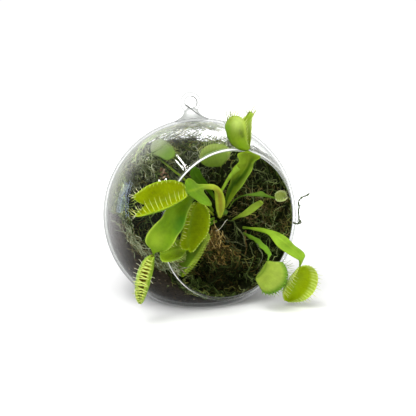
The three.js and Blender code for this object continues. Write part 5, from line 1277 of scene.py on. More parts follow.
# the later threads, in the upper left trap's shade, are made half again as pale: painted light
P, rad, c = strands(rng, np.array(starts), np.array(normals), 9, rng.uniform(0.9, 1.6, n), 0.45, 2.2, rng.uniform(0.18, 0.32, n),
                    GREY[rng.integers(0, 5, n)] * rng.uniform(0.6, 1.25, (n, 1)) * np.where(np.arange(n) < 360, 1.0, 1.5)[:, None], lift=(0.3, 2.6))
to_parts(part, P, rad, c * lit_patch(P), 3, rng)

# a loose heap behind the mouth's upper edge, thin enough to leave gaps against the light
n, K = 210, 14
c0 = np.stack([rng.uniform(4, 44, n), rng.uniform(2, 42, n), np.zeros(n)], -1)
c0[:, 2] = 98 - 0.25 * c0[:, 0] - rng.uniform(0, 10, n)
d = unit(rng.normal(size=(n, 3)) * [1, 1, 0.5])
path = [c0]
spin = unit(rng.normal(size=(n, 3)))
for k in range(K - 1):
    spin = unit(spin + rng.normal(size=(n, 3)) * 0.5)
    d = unit(d + np.cross(spin, d) * 0.45)
    path.append(path[-1] + d * rng.uniform(1.0, 1.6, (n, 1)))
P = np.stack(path, 1)
P[..., 2] -= 0.8 * np.maximum(0, P[..., 2] - 94.5)
P = keep_inside(P, 0.5)
P = P[off_leaves(P).min(axis=1) > 1.5]
n = len(P)
rad = rng.uniform(0.28, 0.5, (n, 1)) * np.linspace(1, 0.5, K)[None] * (1 + 0.3 * rng.uniform(-1, 1, (n, K)))
c = moss_colours(rng, P[:, 0], pale=0.3)[:, None, :] * 1.7 * rng.uniform(0.75, 1.2, (n, K, 1))
to_parts(part, P, rad, c, 3, rng)

# moss packed against the glass round the upper right of the rim, with one dark stem along it
n, K = 150, 9
ring_paths = []
for i in range(n):
    ph = rng.uniform(-6, 74)
    run = rng.uniform(8, 18) * (1 if rng.random() < 0.5 else -1)
    ra = 44.6 + abs(rng.normal(0, 1.7))
    tilt, wob = rng.normal(0, 1.3), rng.uniform(0, 6.28)
    path = []
    for t in np.linspace(0, 1, K):
        q = math.radians(ph + run * t)
        rr = ra + tilt * t + 0.5 * math.sin(wob + 6 * t)
        y = -math.sqrt(max(57.3 ** 2 - rr ** 2, 0)) + 0.5 * math.sin(wob + 9 * t)
        path.append((rr * math.cos(q), y, CENTRE[2] + rr * math.sin(q)))
    ring_paths.append(path)
P = keep_inside(np.array(ring_paths), 0.4)
P = P[off_leaves(P).min(axis=1) > 0.9]
n = len(P)
rad = rng.uniform(0.20, 0.40, (n, 1)) * (1 + 0.3 * rng.uniform(-1, 1, (n, K)))
to_parts(pieces["moss_right"], P, rad, moss_colours(rng, P[:, 0], pale=0.15)[:, None, :] * rng.uniform(0.7, 1.2, (n, K, 1)), 3, rng)
q = np.radians(np.linspace(70, 12, 30))
rr = 46.2 + 0.5 * np.sin(np.linspace(0, 11, 30))
P = np.stack([rr * np.cos(q), -np.sqrt(57.2 ** 2 - rr ** 2), CENTRE[2] + rr * np.sin(q)], -1)
to_parts(pieces["moss_right"], P[None], (0.42 * (1 + 0.3 * rng.uniform(-1, 1, 30)))[None], (np.ones((30, 3)) * srgb(74, 84, 44) * rng.uniform(0.6, 1.2, (30, 1)))[None], 5, rng)


def on_front_glass(px, py, r):
    """Where the line of sight through this place first meets the sphere of this radius."""
    o = cam_pos / MM
    dd = unit(seen_at(px, py, 0) - o)
    oc = o - CENTRE
    bq = np.dot(oc, dd)
    return o + dd * (-bq - math.sqrt(max(bq * bq - (np.dot(oc, oc) - r * r), 0.0)))


# a few dry bud scales lie against the glass at the upper left
scales = Parts()
for x, y, size, col in ((161.0, 169.4, 1.5, (126, 98, 70)), (163.4, 171.6, 1.8, (168, 140, 112)), (166.0, 173.6, 1.4, (110, 84, 58)), (161.6, 174.6, 1.5, (134, 108, 80)), (164.4, 177.0, 1.7, (176, 150, 122)),
                        (159.4, 178.6, 1.3, (98, 74, 50)), (168.4, 176.6, 1.1, (124, 98, 70)), (161.8, 181.4, 1.6, (116, 90, 64))):
    p = on_front_glass(x, y, FILL_MAX_R - 0.8)
    A = unit(rng.normal(size=(3, 3)))
    A[1] = unit(A[1] - A[0] * np.dot(A[0], A[1]))
    A[2] = np.cross(A[0], A[1])
    shape = ico_v * (1 + rng.uniform(-0.3, 0.3, (12, 1)))
    scales.add(keep_inside(p + (shape * size * np.array([1.1, 0.7, 0.35])) @ A, 0.2), None, ico_f, srgb(*col) * 0.6)
ob = scales.build("bud_scales")
ob.data.materials.append(soil_mat)
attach(ob, "root")

# stringy green edge where the moss meets the soil along the glass
edge_pts = [(124.5, 222), (127.5, 231), (132, 239.5), (138, 247), (145, 253), (154, 259), (165, 265), (178, 270)]
rng = np.random.default_rng(63)
n, K = 190, 9
f = curve(np.array([(x, y, 0) for x, y in edge_pts], float))
paths = []
for i in range(n):
    u = rng.uniform(0, 1)
    a, b = f(np.array([u]))[0], f(np.array([min(u + 0.02, 1.0)]))[0]
    ln = rng.uniform(5, 13)
    along = unit(b - a + 1e-9) * (1 if rng.random() < 0.6 else -1)
    cross = np.array([-along[1], along[0], 0])
    x0 = a + cross * rng.normal(0, 3.0)
    bend, ph = rng.normal(0, 2.4), rng.uniform(0, 6.28)
    path = []
    for t in np.linspace(0, 1, K):
        q = x0 + along * ln * t + cross * (bend * t * t + 0.9 * math.sin(ph + 5 * t))
        o = cam_pos / MM
        dd = unit(seen_at(q[0], q[1], 0) - o)
        oc = o - CENTRE
        bq = np.dot(oc, dd)
        rr = FILL_MAX_R - 0.45
        disc = bq * bq - (np.dot(oc, oc) - rr * rr)
        path.append(o + dd * (-bq - math.sqrt(max(disc, 0.0))))
    paths.append(path)
paths = keep_inside(np.array(paths), 0.4)
rads = rng.uniform(0.2, 0.38, (n, 1)) * (1 + 0.3 * rng.uniform(-1, 1, (n, K)))
EDGE = np.array([srgb(86, 94, 68), srgb(112, 118, 90), srgb(138, 143, 114), srgb(90, 84, 56)])
cols = EDGE[rng.integers(0, 4, n)][:, None, :] * rng.uniform(1.1, 1.5, (n, K, 1))
to_parts(pieces["moss_left"], paths, rads, cols, 3, rng)

for name, part in pieces.items():
    ob = part.build(name)
    ob.data.materials.append(moss_mat)
    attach(ob, "root")

# ------------------------------------------------------------------ brown sphagnum under the crown
V, Q, T = fine_copy("dry_moss_tuft", 1.0)
N = vertex_normals(V, Q, T)
hump = value_noise(V, 0.1, 20) * 2.2 + value_noise(V, 0.25, 22) * 1.4 + value_noise(V, 0.6, 23) * 0.6
V = keep_inside(V + N * (hump - 3.4)[:, None], 0.3)
tuft_V, tuft_T = V, np.concatenate([T, Q[:, [0, 1, 2]], Q[:, [0, 2, 3]]])
k = 0.5 + 0.5 * value_noise(V, 0.5, 21)
tuft = Parts()
# the tuft's body under its strands is near black: painted shade between the strands
tuft.add(V, Q, T, mixed(k, srgb(9, 9, 4), srgb(20, 19, 8)))
tuft_bvh = BVHTree.FromPolygons([Vector(p) for p in tuft_V], [tuple(map(int, t)) for t in tuft_T])
DRY = np.array([srgb(92, 74, 34), srgb(124, 102, 48), srgb(164, 138, 76), srgb(64, 52, 24), srgb(92, 96, 44), srgb(182, 160, 104)])
rng = np.random.default_rng(71)
c3 = tuft_V[tuft_T].mean(axis=1)
n3 = np.cross(tuft_V[tuft_T[:, 1]] - tuft_V[tuft_T[:, 0]], tuft_V[tuft_T[:, 2]] - tuft_V[tuft_T[:, 0]])
a3 = np.linalg.norm(n3, axis=1)
w = a3 * (n3[:, 1] < a3 * 0.3)
for count, seg, wan, rise, r, lift, gain in ((320, 10, 0.35, 1.2, (0.22, 0.36), (0.0, 0.8), 0.5), (200, 12, 0.4, 2.4, (0.20, 0.34), (0.4, 2.8), 0.85), (80, 13, 0.45, 3.4, (0.18, 0.30), (0.8, 3.6), 1.05)):
    i = rng.choice(len(tuft_T), count, p=w / w.sum())
    # golden in the upper left where it hangs from the crown, mossy green and darker towards its right; the darkening
    # towards its right and foot below is painted shade
    gold = smooth01((c3[i, 2] - 26) / 10.0) * smooth01((15.5 - c3[i, 0]) / 7.0)
    is_gold = rng.random(count) < 0.15 + 0.75 * gold
    col = np.where(is_gold[:, None], DRY[rng.choice(6, count, p=[0.26, 0.24, 0.16, 0.20, 0.08, 0.06])], MOSS[rng.choice(6, count, p=[0.40, 0.24, 0.10, 0.02, 0.06, 0.18])]) * rng.uniform(0.7, 1.15, (count, 1))
    P, rad, c = strands(rng, c3[i], unit(n3[i]), seg, rng.uniform(0.8, 1.4, count), wan, rise, rng.uniform(*r, count), col, surface=tuft_bvh, lift=lift)
    # painted shade: strands darker low on the tuft and towards its right
    high = 0.30 + 0.70 * smooth01((P[..., 2] - 22) / 12.0) * (0.35 + 0.65 * smooth01((20 - P[..., 0]) / 9.0))
    to_parts(tuft, P, rad, c * gain * high[..., None], 3, rng)

# a fibrous golden bunch hangs from the crown to the tuft and forks like antlers
rng = np.random.default_rng(81)
paths, tints = [], []
K = 12


def hanging(x0, y0, x1, y1, d0, d1, wob):
    return [seen_at(x0 + (x1 - x0) * u + 1.5 * math.sin(3 * u + wob[0]) * u + wob[1] * 0.9 * math.sin(7 * u),
                    y0 + (y1 - y0) * u + wob[2] * math.sin(6 * u + wob[3]),
                    d0 + (d1 - d0) * u + 1.5 * math.sin(3.1 * u) + 0.8 * math.sin(8 * u + wob[4])) for u in np.linspace(0, 1, K)]


for i in range(120):
    x0, y0 = 213 + rng.normal(0, 1.6), 231 + rng.normal(0, 2.5)
    x1, y1 = 214.5 + rng.normal(0, 6.0), 252 + rng.normal(0, 8)
    paths.append(hanging(x0, y0, x1, y1, 9.5 + rng.normal(0, 1.0), 21 + rng.normal(0, 2.2), rng.normal(0, 1, 5)))
    tints.append(DRY[rng.choice(6, p=[0.2, 0.28, 0.26, 0.1, 0.04, 0.12])])
for i in range(110):
    x0, y0 = 212 + rng.normal(0, 5.5), 246 + rng.normal(0, 6)
    a = rng.normal(1.35, 0.7)
    ln = rng.uniform(5, 15)
    paths.append(hanging(x0, y0, x0 + ln * math.cos(a), y0 + ln * math.sin(a), 20.5 + rng.normal(0, 1.5), 22.5 + rng.normal(0, 2.0), rng.normal(0, 1, 5)))
    tints.append(DRY[rng.choice(6, p=[0.2, 0.26, 0.26, 0.12, 0.04, 0.12])])
paths = keep_inside(np.array(paths), 0.3)
n = len(paths)
rads = rng.uniform(0.18, 0.36, (n, 1)) * np.linspace(1, 0.6, K)[None, :] * (1 + 0.3 * rng.uniform(-1, 1, (n, K)))
cols = np.array(tints)[:, None, :] * rng.uniform(0.45, 1.5, (n, 1, 1)) * rng.uniform(0.75, 1.15, (n, K, 1))
to_parts(tuft, paths, rads, cols, 3, rng)
# one pale hair over it
q = np.array([seen_at(216.0, 231.0, 26.0), seen_at(219.4, 229.2, 27.5), seen_at(222.6, 225.6, 28), seen_at(225, 221.8, 27), seen_at(227.4, 219.4, 25.0)])
f = curve(q)
to_parts(tuft, f(np.linspace(0, 1, 14))[None], np.full((1, 14), 0.13), np.ones((1, 14, 3)) * srgb(222, 220, 205), 4)
dry_mat = tint_material("dry_moss", rough=(0.75, 0.95), scale=1500, bump=0.4, spread=0.3, specular=0.08, fine=3500, distance=0.0004)
ob = tuft.build("dry_tuft")
ob.data.materials.append(dry_mat)
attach(ob, "root")
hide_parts("dry_moss_tuft")

# a single dry strand outside the mouth's right edge
stray = Parts()
q = np.array([seen_at(293.2, 222.4, 12.5), seen_at(296.6, 223.8, 17.0), seen_at(300.0, 223.2, 14.0), seen_at(299.2, 220, 11.6), seen_at(298.6, 213, 11.5), seen_at(298.8, 207.6, 11.5), seen_at(299.2, 200.4, 11.5), seen_at(301.6, 197.4, 11), seen_at(305, 196, 10.6), seen_at(309.4, 193.5, 10)])
f = curve(q)
u = np.linspace(0, 1, 36)
to_parts(stray, f(u)[None] + rng.normal(0, 0.12, (1, 36, 3)), (0.44 + 0.16 * np.sin(u * 40) ** 2)[None], np.ones((1, 36, 3)) * srgb(78, 88, 62) * rng.uniform(0.6, 1.3, (1, 36, 1)), 5)
for x, y, dx, dy in ((299.8, 220, 1.8, 3.2), (299.6, 221.6, -2.2, 1.8), (299.2, 219, -1.6, 2.6), (299, 206, 1.9, -1.4), (301.6, 197.4, 0.6, 2.4), (307, 194.8, 1.4, 1.5)):
    f = curve(np.array([seen_at(x, y, 11), seen_at(x + dx * 0.5, y + dy * 0.3, 11.3), seen_at(x + dx, y + dy, 11.0)]))
    to_parts(stray, f(np.linspace(0, 1, 8))[None], np.linspace(0.46, 0.24, 8)[None], np.ones((1, 8, 3)) * srgb(70, 84, 54), 5)
ob = stray.build("stray_strand")
ob.data.materials.append(moss_mat)
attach(ob, "root")

# ------------------------------------------------------------------ rosette crown: leaf bases wrapped round each other
crown = Parts()
rng = np.random.default_rng(91)
cc = np.array([10.2, -8.7, 51.4])
for i in range(11):
    a = i * 2.4
    lean = 0.35 + 0.05 * i
    axis = unit(np.array([math.cos(a) * lean, math.sin(a) * lean - 0.5, 1.0 - 0.03 * i]))
    sx = unit(np.cross(axis, [0.2, 0.3, 1.0]))
    sy = np.cross(axis, sx)
    u = np.linspace(0, math.pi, 12)
    v = np.linspace(0, 2 * math.pi, 13)[:-1]
    h = rng.uniform(3.0, 4.6)
    w = rng.uniform(1.1, 1.7)
    ring = np.sin(u)[:, None] ** 0.8
    P = (cc + axis * 1.2 + axis * (-np.cos(u) * h * 0.9)[:, None, None]
         + sx * (ring * np.cos(v) * w)[..., None] + sy * (ring * np.sin(v) * w * 0.6)[..., None])
    P = P + np.array([math.cos(a), math.sin(a) * 0.8, 0]) * 1.7
    idx = np.arange(12 * 12).reshape(12, 12)
    Qd = np.stack([idx[:-1], np.roll(idx, -1, 1)[:-1], np.roll(idx, -1, 1)[1:], idx[1:]], -1).reshape(-1, 4)
    tz = (P[..., 2] - cc[2]) / 5
    col = srgb(120, 116, 48) * (1 - smooth01(tz + 0.5))[..., None] + srgb(96, 134, 40) * smooth01(tz + 0.5)[..., None]
    crown.add(P, Qd, None, (col * rng.uniform(0.8, 1.1)).reshape(-1, 3))
crown_mat = tint_material("crown_flesh", rough=(0.45, 0.65), scale=900, bump=0.15, spread=0.15, specular=0.4, fine=2800, distance=0.0003)
ob = crown.build("crown")
ob.data.materials.append(crown_mat)
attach(ob, "root")
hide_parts("rosette_crown")

# ------------------------------------------------------------------ glass
seg = 180


def revolve(profile):
    """Closed profile of (radius, y) turned about the mouth's axis. The first and last points lie on the axis."""
    prof = np.array(profile, float)
    a = np.arange(seg) * 2 * math.pi / seg
    mid = prof[1:-1]
    V = np.stack([mid[:, None, 0] * np.cos(a), mid[:, None, 1] * np.ones(seg), CENTRE[2] + mid[:, None, 0] * np.sin(a)], -1)
    n = len(mid)
    V = np.concatenate([V.reshape(-1, 3), [[0, prof[0, 1], CENTRE[2]]], [[0, prof[-1, 1], CENTRE[2]]]])
    idx = np.arange(n * seg).reshape(n, seg)
    nx = np.roll(idx, -1, 1)
    Q = np.stack([idx[:-1], idx[1:], nx[1:], nx[:-1]], -1).reshape(-1, 4)
    T = np.concatenate([np.stack([np.full(seg, n * seg), idx[0], nx[0]], -1), np.stack([idx[-1], np.full(seg, n * seg + 1), nx[-1]], -1)])
    return V, Q, T


BEAD_R = 0.95
bead = (MOUTH_R + 0.15, -39.96)
th0 = math.atan2(45.62, -38.98)
prof = [(GLOBE_R * math.sin(t), GLOBE_R * math.cos(t)) for t in np.linspace(0, th0, 84)]
n_outer = len(prof)
prof += [(bead[0] + BEAD_R * math.cos(t), bead[1] + BEAD_R * math.sin(t)) for t in np.linspace(math.radians(40), math.radians(-222), 24)]
n_bead = len(prof)
th1 = math.atan2(43.22, -38.98)
prof += [(INNER_R * math.sin(t), INNER_R * math.cos(t)) for t in np.linspace(th1, 0, 60)]
prof[0], prof[-1] = (0.0, GLOBE_R), (0.0, INNER_R)
V, Q, T = revolve(prof)
row = np.concatenate([np.repeat(np.arange(1, len(prof) - 1), seg), [0, len(prof) - 1]])


def soft_floor(z, floor, k=0.9):
    d = z - floor
    return floor + 0.5 * (d + np.sqrt(d * d + k * k)) - 0.03


V[:, 2] = np.where(row < n_outer, soft_floor(V[:, 2], 0.0), np.where(row >= n_bead, soft_floor(V[:, 2], 2.2), V[:, 2]))
# painted highlight: a white line is painted along the front of the fire-polished rim's bead, most on the upper left,
# for the light that the rim catches
phi = np.degrees(np.arctan2(V[:, 2] - CENTRE[2], V[:, 0]))
tube = np.degrees(np.arctan2(V[:, 1] - bead[1], np.hypot(V[:, 0], V[:, 2] - CENTRE[2]) - bead[0]))
on_bead = (row >= n_outer) & (row < n_bead)
lit = np.exp(-((tube + 84) / np.where((phi < -95), 14.0, 30.0)) ** 2) * on_bead
rim_highlight_round = np.interp(phi, [-180, -150, -134, -126, -112, -98, -70, -30, 20, 45, 66, 90, 180], [0.9, 0.8, 0.7, 0.3, 0.16, 0.06, 0.04, 0.08, 0.14, 0.32, 0.75, 1.0, 1.0])
rim_highlight = (lit * rim_highlight_round)[:, None] * np.ones(3)
globe = new_object("globe", V, Q, T, rim_highlight)

# neck, loop and curled rod end, joined into one smooth lump
TILT, TURN = -0.088, -0.49
top = GLOBE_R - WALL - 0.4
neck_pts = [(13.4, top - 2.4), (12.0, top - 0.2), (10.3, top + 1.4), (7.8, top + 2.8), (5.9, top + 4.2), (4.8, top + 5.6), (4.2, top + 7), (3.0, top + 8.4)]
lean = Matrix.Translation(Vector(CENTRE)) @ Matrix.Rotation(TILT, 4, "Y")
f = curve(np.array([(r, 0, z) for r, z in neck_pts]))
g = f(np.linspace(0, 1, 40))
a = np.arange(64) * 2 * math.pi / 64
ring = np.stack([g[:, None, 0] * np.cos(a), g[:, None, 0] * np.sin(a), g[:, None, 2] * np.ones(64)], -1).reshape(-1, 3)
ring = np.concatenate([ring, [[0, 0, g[0, 2]]], [[0, 0, g[-1, 2] + 0.5]]])
idx = np.arange(40 * 64).reshape(40, 64)
nx = np.roll(idx, -1, 1)
Qn = np.stack([idx[:-1], nx[:-1], nx[1:], idx[1:]], -1).reshape(-1, 4)
Tn = np.concatenate([np.stack([np.full(64, 2560), nx[0], idx[0]], -1), np.stack([np.full(64, 2561), idx[-1], nx[-1]], -1)])


def moved(P, M):
    A = np.array(M)
    return np.asarray(P) @ A[:3, :3].T + A[:3, 3]


lump = Parts()
lump.add(moved(ring, lean), Qn, Tn)
loop_c = top + 7.4 + 4.85
turn = lean @ Matrix.Translation((0, 0, loop_c)) @ Matrix.Rotation(TURN, 4, "Z") @ Matrix.Rotation(math.pi / 2, 4, "X")
a = np.linspace(0, 2 * math.pi, 73)[:-1]
b = np.linspace(0, 2 * math.pi, 21)[:-1]
R1, r1 = 4.85, 1.4
tor = np.stack([(R1 + r1 * np.cos(b)[None, :]) * np.cos(a)[:, None], (R1 + r1 * np.cos(b)[None, :]) * np.sin(a)[:, None], r1 * np.sin(b)[None, :] * np.ones((72, 1))], -1)
idx = np.arange(72 * 20).reshape(72, 20)
Qt = np.stack([idx, np.roll(idx, -1, 0), np.roll(np.roll(idx, -1, 0), -1, 1), np.roll(idx, -1, 1)], -1).reshape(-1, 4)
lump.add(moved(tor.reshape(-1, 3), turn), Qt)
tail_c = turn @ Matrix.Translation((-R1 * 0.86, -R1 * 0.72, 0.5)) @ Matrix.Rotation(0.62, 4, "Z")
ta = np.linspace(-2.3, 2.3, 12)
p = np.stack([0 * ta, ta, 0.25 * np.sin(ta)], -1)
Vc, Qc, Tc = tubes(moved(p, tail_c)[None], np.array([[0.4, 0.85, 1.1, 1.15, 1.15, 1.15, 1.15, 1.15, 1.15, 1.1, 0.85, 0.4]]), 14)
lump.add(Vc, Qc, Tc)
loop = lump.build("loop")
md = loop.modifiers.new("r", "REMESH")
md.mode = "VOXEL"
md.voxel_size = 0.00034
sm = loop.modifiers.new("s", "SMOOTH")
sm.factor, sm.iterations = 0.5, 7
dg = bpy.context.evaluated_depsgraph_get()
me = bpy.data.meshes.new_from_object(loop.evaluated_get(dg))
loop.modifiers.clear()
loop.data = me
# the rod is fused to the blown globe: what would lie inside it is taken off
V = np.empty(len(me.vertices) * 3)
me.vertices.foreach_get("co", V)
V = V.reshape(-1, 3) / MM
d = V - CENTRE
ln = np.linalg.norm(d, axis=1, keepdims=True)
V = np.where(ln < GLOBE_R + 0.03, CENTRE + d * ((GLOBE_R + 0.03) / ln), V)
me.vertices.foreach_set("co", (V * MM).ravel())
me.update()
me.polygons.foreach_set("use_smooth", [True] * len(me.polygons))


def glass_material(name, rod=False):
    """Clear glass whose thin walls show what is behind them unbent, under the mirror image that their faces give; at a
    slant a wall takes more of the light. On the globe a white shader is mixed in where the mesh's Tint is set: the
    rim's painted highlight.
    """
    m, nt, out = material(name)
    geo = nt.nodes.new("ShaderNodeNewGeometry")
    turn = node(nt, "ShaderNodeMapRange")
    turn.inputs["To Min"].default_value = 1.45
    turn.inputs["To Max"].default_value = 1 / 1.45
    nt.links.new(geo.outputs["Backfacing"], turn.inputs["Value"])
    fr = nt.nodes.new("ShaderNodeFresnel")
    nt.links.new(turn.outputs["Result"], fr.inputs["IOR"])
    tr = node(nt, "ShaderNodeBsdfTransparent")
    lw = node(nt, "ShaderNodeLayerWeight", Blend=0.5)
    slant = node(nt, "ShaderNodeMapRange")
    slant.interpolation_type = "SMOOTHSTEP"
    for key, val in (("From Min", 0.0 if rod else 0.60), ("From Max", 0.50 if rod else 0.92), ("To Min", 0.0), ("To Max", 1.0)):
        slant.inputs[key].default_value = val
    nt.links.new(lw.outputs["Facing"], slant.inputs["Value"])
    through = node(nt, "ShaderNodeMix")
    through.data_type = "RGBA"
    for sock in through.inputs:
        if sock.name == "A" and sock.type == "RGBA":
            sock.default_value = (0.975, 0.978, 0.975, 1) if rod else (0.985, 0.990, 0.987, 1)
        if sock.name == "B" and sock.type == "RGBA":
            sock.default_value = (0.68, 0.69, 0.68, 1) if rod else (0.62, 0.64, 0.62, 1)
    if rod:
        nt.links.new(slant.outputs["Result"], through.inputs["Factor"])
    else:
        # the wall's edge turns greyer towards the foot and on the left
        sep = nt.nodes.new("ShaderNodeSeparateXYZ")
        nt.links.new(geo.outputs["Position"], sep.inputs["Vector"])
        foot = node(nt, "ShaderNodeMapRange")
        for key, val in (("From Min", 0.02), ("From Max", 0.10), ("To Min", 1.0), ("To Max", 0.8)):
            foot.inputs[key].default_value = val
        nt.links.new(sep.outputs["Z"], foot.inputs["Value"])
        side = node(nt, "ShaderNodeMapRange")
        for key, val in (("From Min", -0.03), ("From Max", 0.04), ("To Min", 1.0), ("To Max", 0.6)):
            side.inputs[key].default_value = val
        nt.links.new(sep.outputs["X"], side.inputs["Value"])
        half = node(nt, "ShaderNodeMath", _operation="MULTIPLY")
        nt.links.new(slant.outputs["Result"], half.inputs[0])
        nt.links.new(foot.outputs["Result"], half.inputs[1])
        both = node(nt, "ShaderNodeMath", _operation="MULTIPLY")
        nt.links.new(half.outputs["Value"], both.inputs[0])
        nt.links.new(side.outputs["Result"], both.inputs[1])
        nt.links.new(both.outputs["Value"], through.inputs["Factor"])
    for sock in through.outputs:
        if sock.type == "RGBA":
            nt.links.new(sock, tr.inputs["Color"])
    gl = node(nt, "ShaderNodeBsdfGlossy", Roughness=0.0)
    gl.inputs["Color"].default_value = (0.45, 0.46, 0.46, 1) if rod else (1, 1, 1, 1)
    mix = nt.nodes.new("ShaderNodeMixShader")
    nt.links.new(fr.outputs["Fac"], mix.inputs["Fac"])
    nt.links.new(tr.outputs["BSDF"], mix.inputs[1])
    nt.links.new(gl.outputs["BSDF"], mix.inputs[2])
    last = mix
    if not rod:
        # the rim's painted highlight: white mixed in by the mesh's Tint
        white = node(nt, "ShaderNodeBsdfPrincipled", Roughness=0.15)
        white.inputs["Base Color"].default_value = (0.93, 0.95, 0.93, 1)
        rim_highlight_mark = node(nt, "ShaderNodeVertexColor", _layer_name="Tint")
        last = nt.nodes.new("ShaderNodeMixShader")
        nt.links.new(rim_highlight_mark.outputs["Color"], last.inputs["Fac"])
        nt.links.new(mix.outputs["Shader"], last.inputs[1])
        nt.links.new(white.outputs["BSDF"], last.inputs[2])
    nt.links.new(last.outputs["Shader"], out.inputs["Surface"])
    return m


globe.data.materials.clear()
globe.data.materials.append(glass_material("clear_glass"))
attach(globe, "root")
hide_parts("glass_globe")
loop.data.materials.clear()
loop.data.materials.append(glass_material("rod_glass", rod=True))
# where rod and globe are one glass there is no face between them
m, nt, out = material("fused_face")
nt.links.new(nt.nodes.new("ShaderNodeBsdfTransparent").outputs["BSDF"], out.inputs["Surface"])
loop.data.materials.append(m)
flush = (ln[:, 0] < GLOBE_R + 0.035)
for p in loop.data.polygons:
    if all(flush[v] for v in p.vertices):
        p.material_index = 1
globe.data.materials.append(m)
axis = np.array(Matrix.Rotation(TILT, 3, "Y") @ Vector((0, 0, 1)))
co = np.empty(len(globe.data.vertices) * 3)
globe.data.vertices.foreach_get("co", co)
co = co.reshape(-1, 3) / MM - CENTRE
for p in globe.data.polygons:
    mid = co[list(p.vertices)].mean(axis=0)
    size = np.linalg.norm(mid)
    if size > GLOBE_R - 0.6 and np.dot(mid, axis) > size * math.cos(math.radians(9.6)):
        p.material_index = 1
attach(loop, "root")
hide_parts("hanging_loop")

# the seam where the loop's rod end was fused on shows as a grey line in the glass
seam = Parts()
for pts, r, fade, col in ((((184.4, 103.8), (188.2, 106.6), (193.0, 110.4), (197.6, 113.8), (203.5, 117.8)), 0.46, 0.85, (92, 94, 90)),
                          (((190.4, 96.4), (193.8, 97.0), (196.2, 99.2), (197.2, 102.0), (196.6, 105.4), (194.6, 107.6)), 0.22, 0.1, (140, 140, 136))):
    f = curve(np.array([seen_at(x, y, 1.0) for x, y in pts]))
    u = np.linspace(0, 1, 20)
    to_parts(seam, f(u)[None], (r * (1 - fade * u) * smooth01(u / 0.12) * smooth01((1 - u) / 0.25) + 0.03)[None], np.ones((1, 20, 3)) * srgb(*col), 6)
ob = seam.build("fused_seam")
ob.data.materials.append(tint_material("seam_glass", rough=(0.2, 0.3), scale=900, bump=0.02, spread=0.1, specular=0.5))
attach(ob, "root")

# ------------------------------------------------------------------ floor, light
me = bpy.data.meshes.new("floor")
me.from_pydata([(-30, -30, 0), (30, -30, 0), (30, 30, 0), (-30, 30, 0)], [], [(0, 1, 2, 3)])
floor = bpy.data.objects.new("floor", me)
scene.collection.objects.link(floor)
m, nt, out = material("pale_floor")
b = node(nt, "ShaderNodeBsdfPrincipled", Roughness=0.9)
b.inputs["Base Color"].default_value = (0.86, 0.86, 0.855, 1)
b.inputs["Specular IOR Level"].default_value = 0.0
b.inputs["Emission Color"].default_value = (1, 1, 1, 1)
geo = nt.nodes.new("ShaderNodeNewGeometry")
far = nt.nodes.new("ShaderNodeVectorMath")
far.operation = "LENGTH"
nt.links.new(geo.outputs["Position"], far.inputs[0])
glow = nt.nodes.new("ShaderNodeMapRange")
glow.interpolation_type = "SMOOTHSTEP"
for key, val in (("From Min", 0.08), ("From Max", 0.45), ("To Min", 0.06), ("To Max", 1.0)):
    glow.inputs[key].default_value = val
nt.links.new(far.outputs["Value"], glow.inputs["Value"])
nt.links.new(glow.outputs["Result"], b.inputs["Emission Strength"])
nt.links.new(b.outputs["BSDF"], out.inputs["Surface"])
me.materials.append(m)
floor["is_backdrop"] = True
floor.visible_glossy = False

# white studio. Lamps light the plant; in mirror images the white sweep behind the object and beside it is bright and the room in front is dark
forward = unit(CENTRE - cam_pos / MM)
world = bpy.data.worlds.new("studio")
scene.world = world
world.use_nodes = True
wn = world.node_tree
wn.nodes.clear()
wo = wn.nodes.new("ShaderNodeOutputWorld")
wt = wn.nodes.new("ShaderNodeTexCoord")
dot = wn.nodes.new("ShaderNodeVectorMath")
dot.operation = "DOT_PRODUCT"
dot.inputs[1].default_value = tuple(map(float, forward))
wn.links.new(wt.outputs["Generated"], dot.inputs[0])
rp = wn.nodes.new("ShaderNodeValToRGB")
rp.color_ramp.interpolation = "EASE"
stops = [(0.0, 0.03), (0.50, 0.03), (0.60, 0.14), (0.69, 0.42), (0.78, 0.47), (0.88, 0.51), (0.94, 0.42), (0.98, 0.27), (1.0, 0.20)]
els = rp.color_ramp.elements
els[0].position, els[1].position = stops[0][0], stops[-1][0]
for pos, val in stops[1:-1]:
    els.new(pos)
for e, (pos, val) in zip(els, stops):
    e.position = pos
    e.color = (val, val, val, 1)
mr = wn.nodes.new("ShaderNodeMapRange")
mr.inputs["From Min"].default_value = -1.0
mr.inputs["From Max"].default_value = 1.0
wn.links.new(dot.outputs["Value"], mr.inputs["Value"])
wn.links.new(mr.outputs["Result"], rp.inputs["Fac"])
mirror = wn.nodes.new("ShaderNodeBackground")
xyz = wn.nodes.new("ShaderNodeSeparateXYZ")
wn.links.new(wt.outputs["Generated"], xyz.inputs["Vector"])
down = wn.nodes.new("ShaderNodeMapRange")
down.interpolation_type = "SMOOTHSTEP"
for key, val in (("From Min", -0.82), ("From Max", 0.05), ("To Min", 0.17), ("To Max", 2.75)):
    down.inputs[key].default_value = val
wn.links.new(xyz.outputs["Z"], down.inputs["Value"])
wn.links.new(down.outputs["Result"], mirror.inputs["Strength"])
wn.links.new(rp.outputs["Color"], mirror.inputs["Color"])
plain = wn.nodes.new("ShaderNodeBackground")
plain.inputs["Color"].default_value = (1, 1, 1, 1)
plain.inputs["Strength"].default_value = 0.60
full = wn.nodes.new("ShaderNodeBackground")
full.inputs["Color"].default_value = (1, 1, 1, 1)
full.inputs["Strength"].default_value = 1.05
lp = wn.nodes.new("ShaderNodeLightPath")
seen = wn.nodes.new("ShaderNodeMath")
seen.operation = "MAXIMUM"
wn.links.new(lp.outputs["Is Camera Ray"], seen.inputs[0])
wn.links.new(lp.outputs["Is Transmission Ray"], seen.inputs[1])
wm = wn.nodes.new("ShaderNodeMixShader")
wn.links.new(lp.outputs["Is Glossy Ray"], wm.inputs["Fac"])
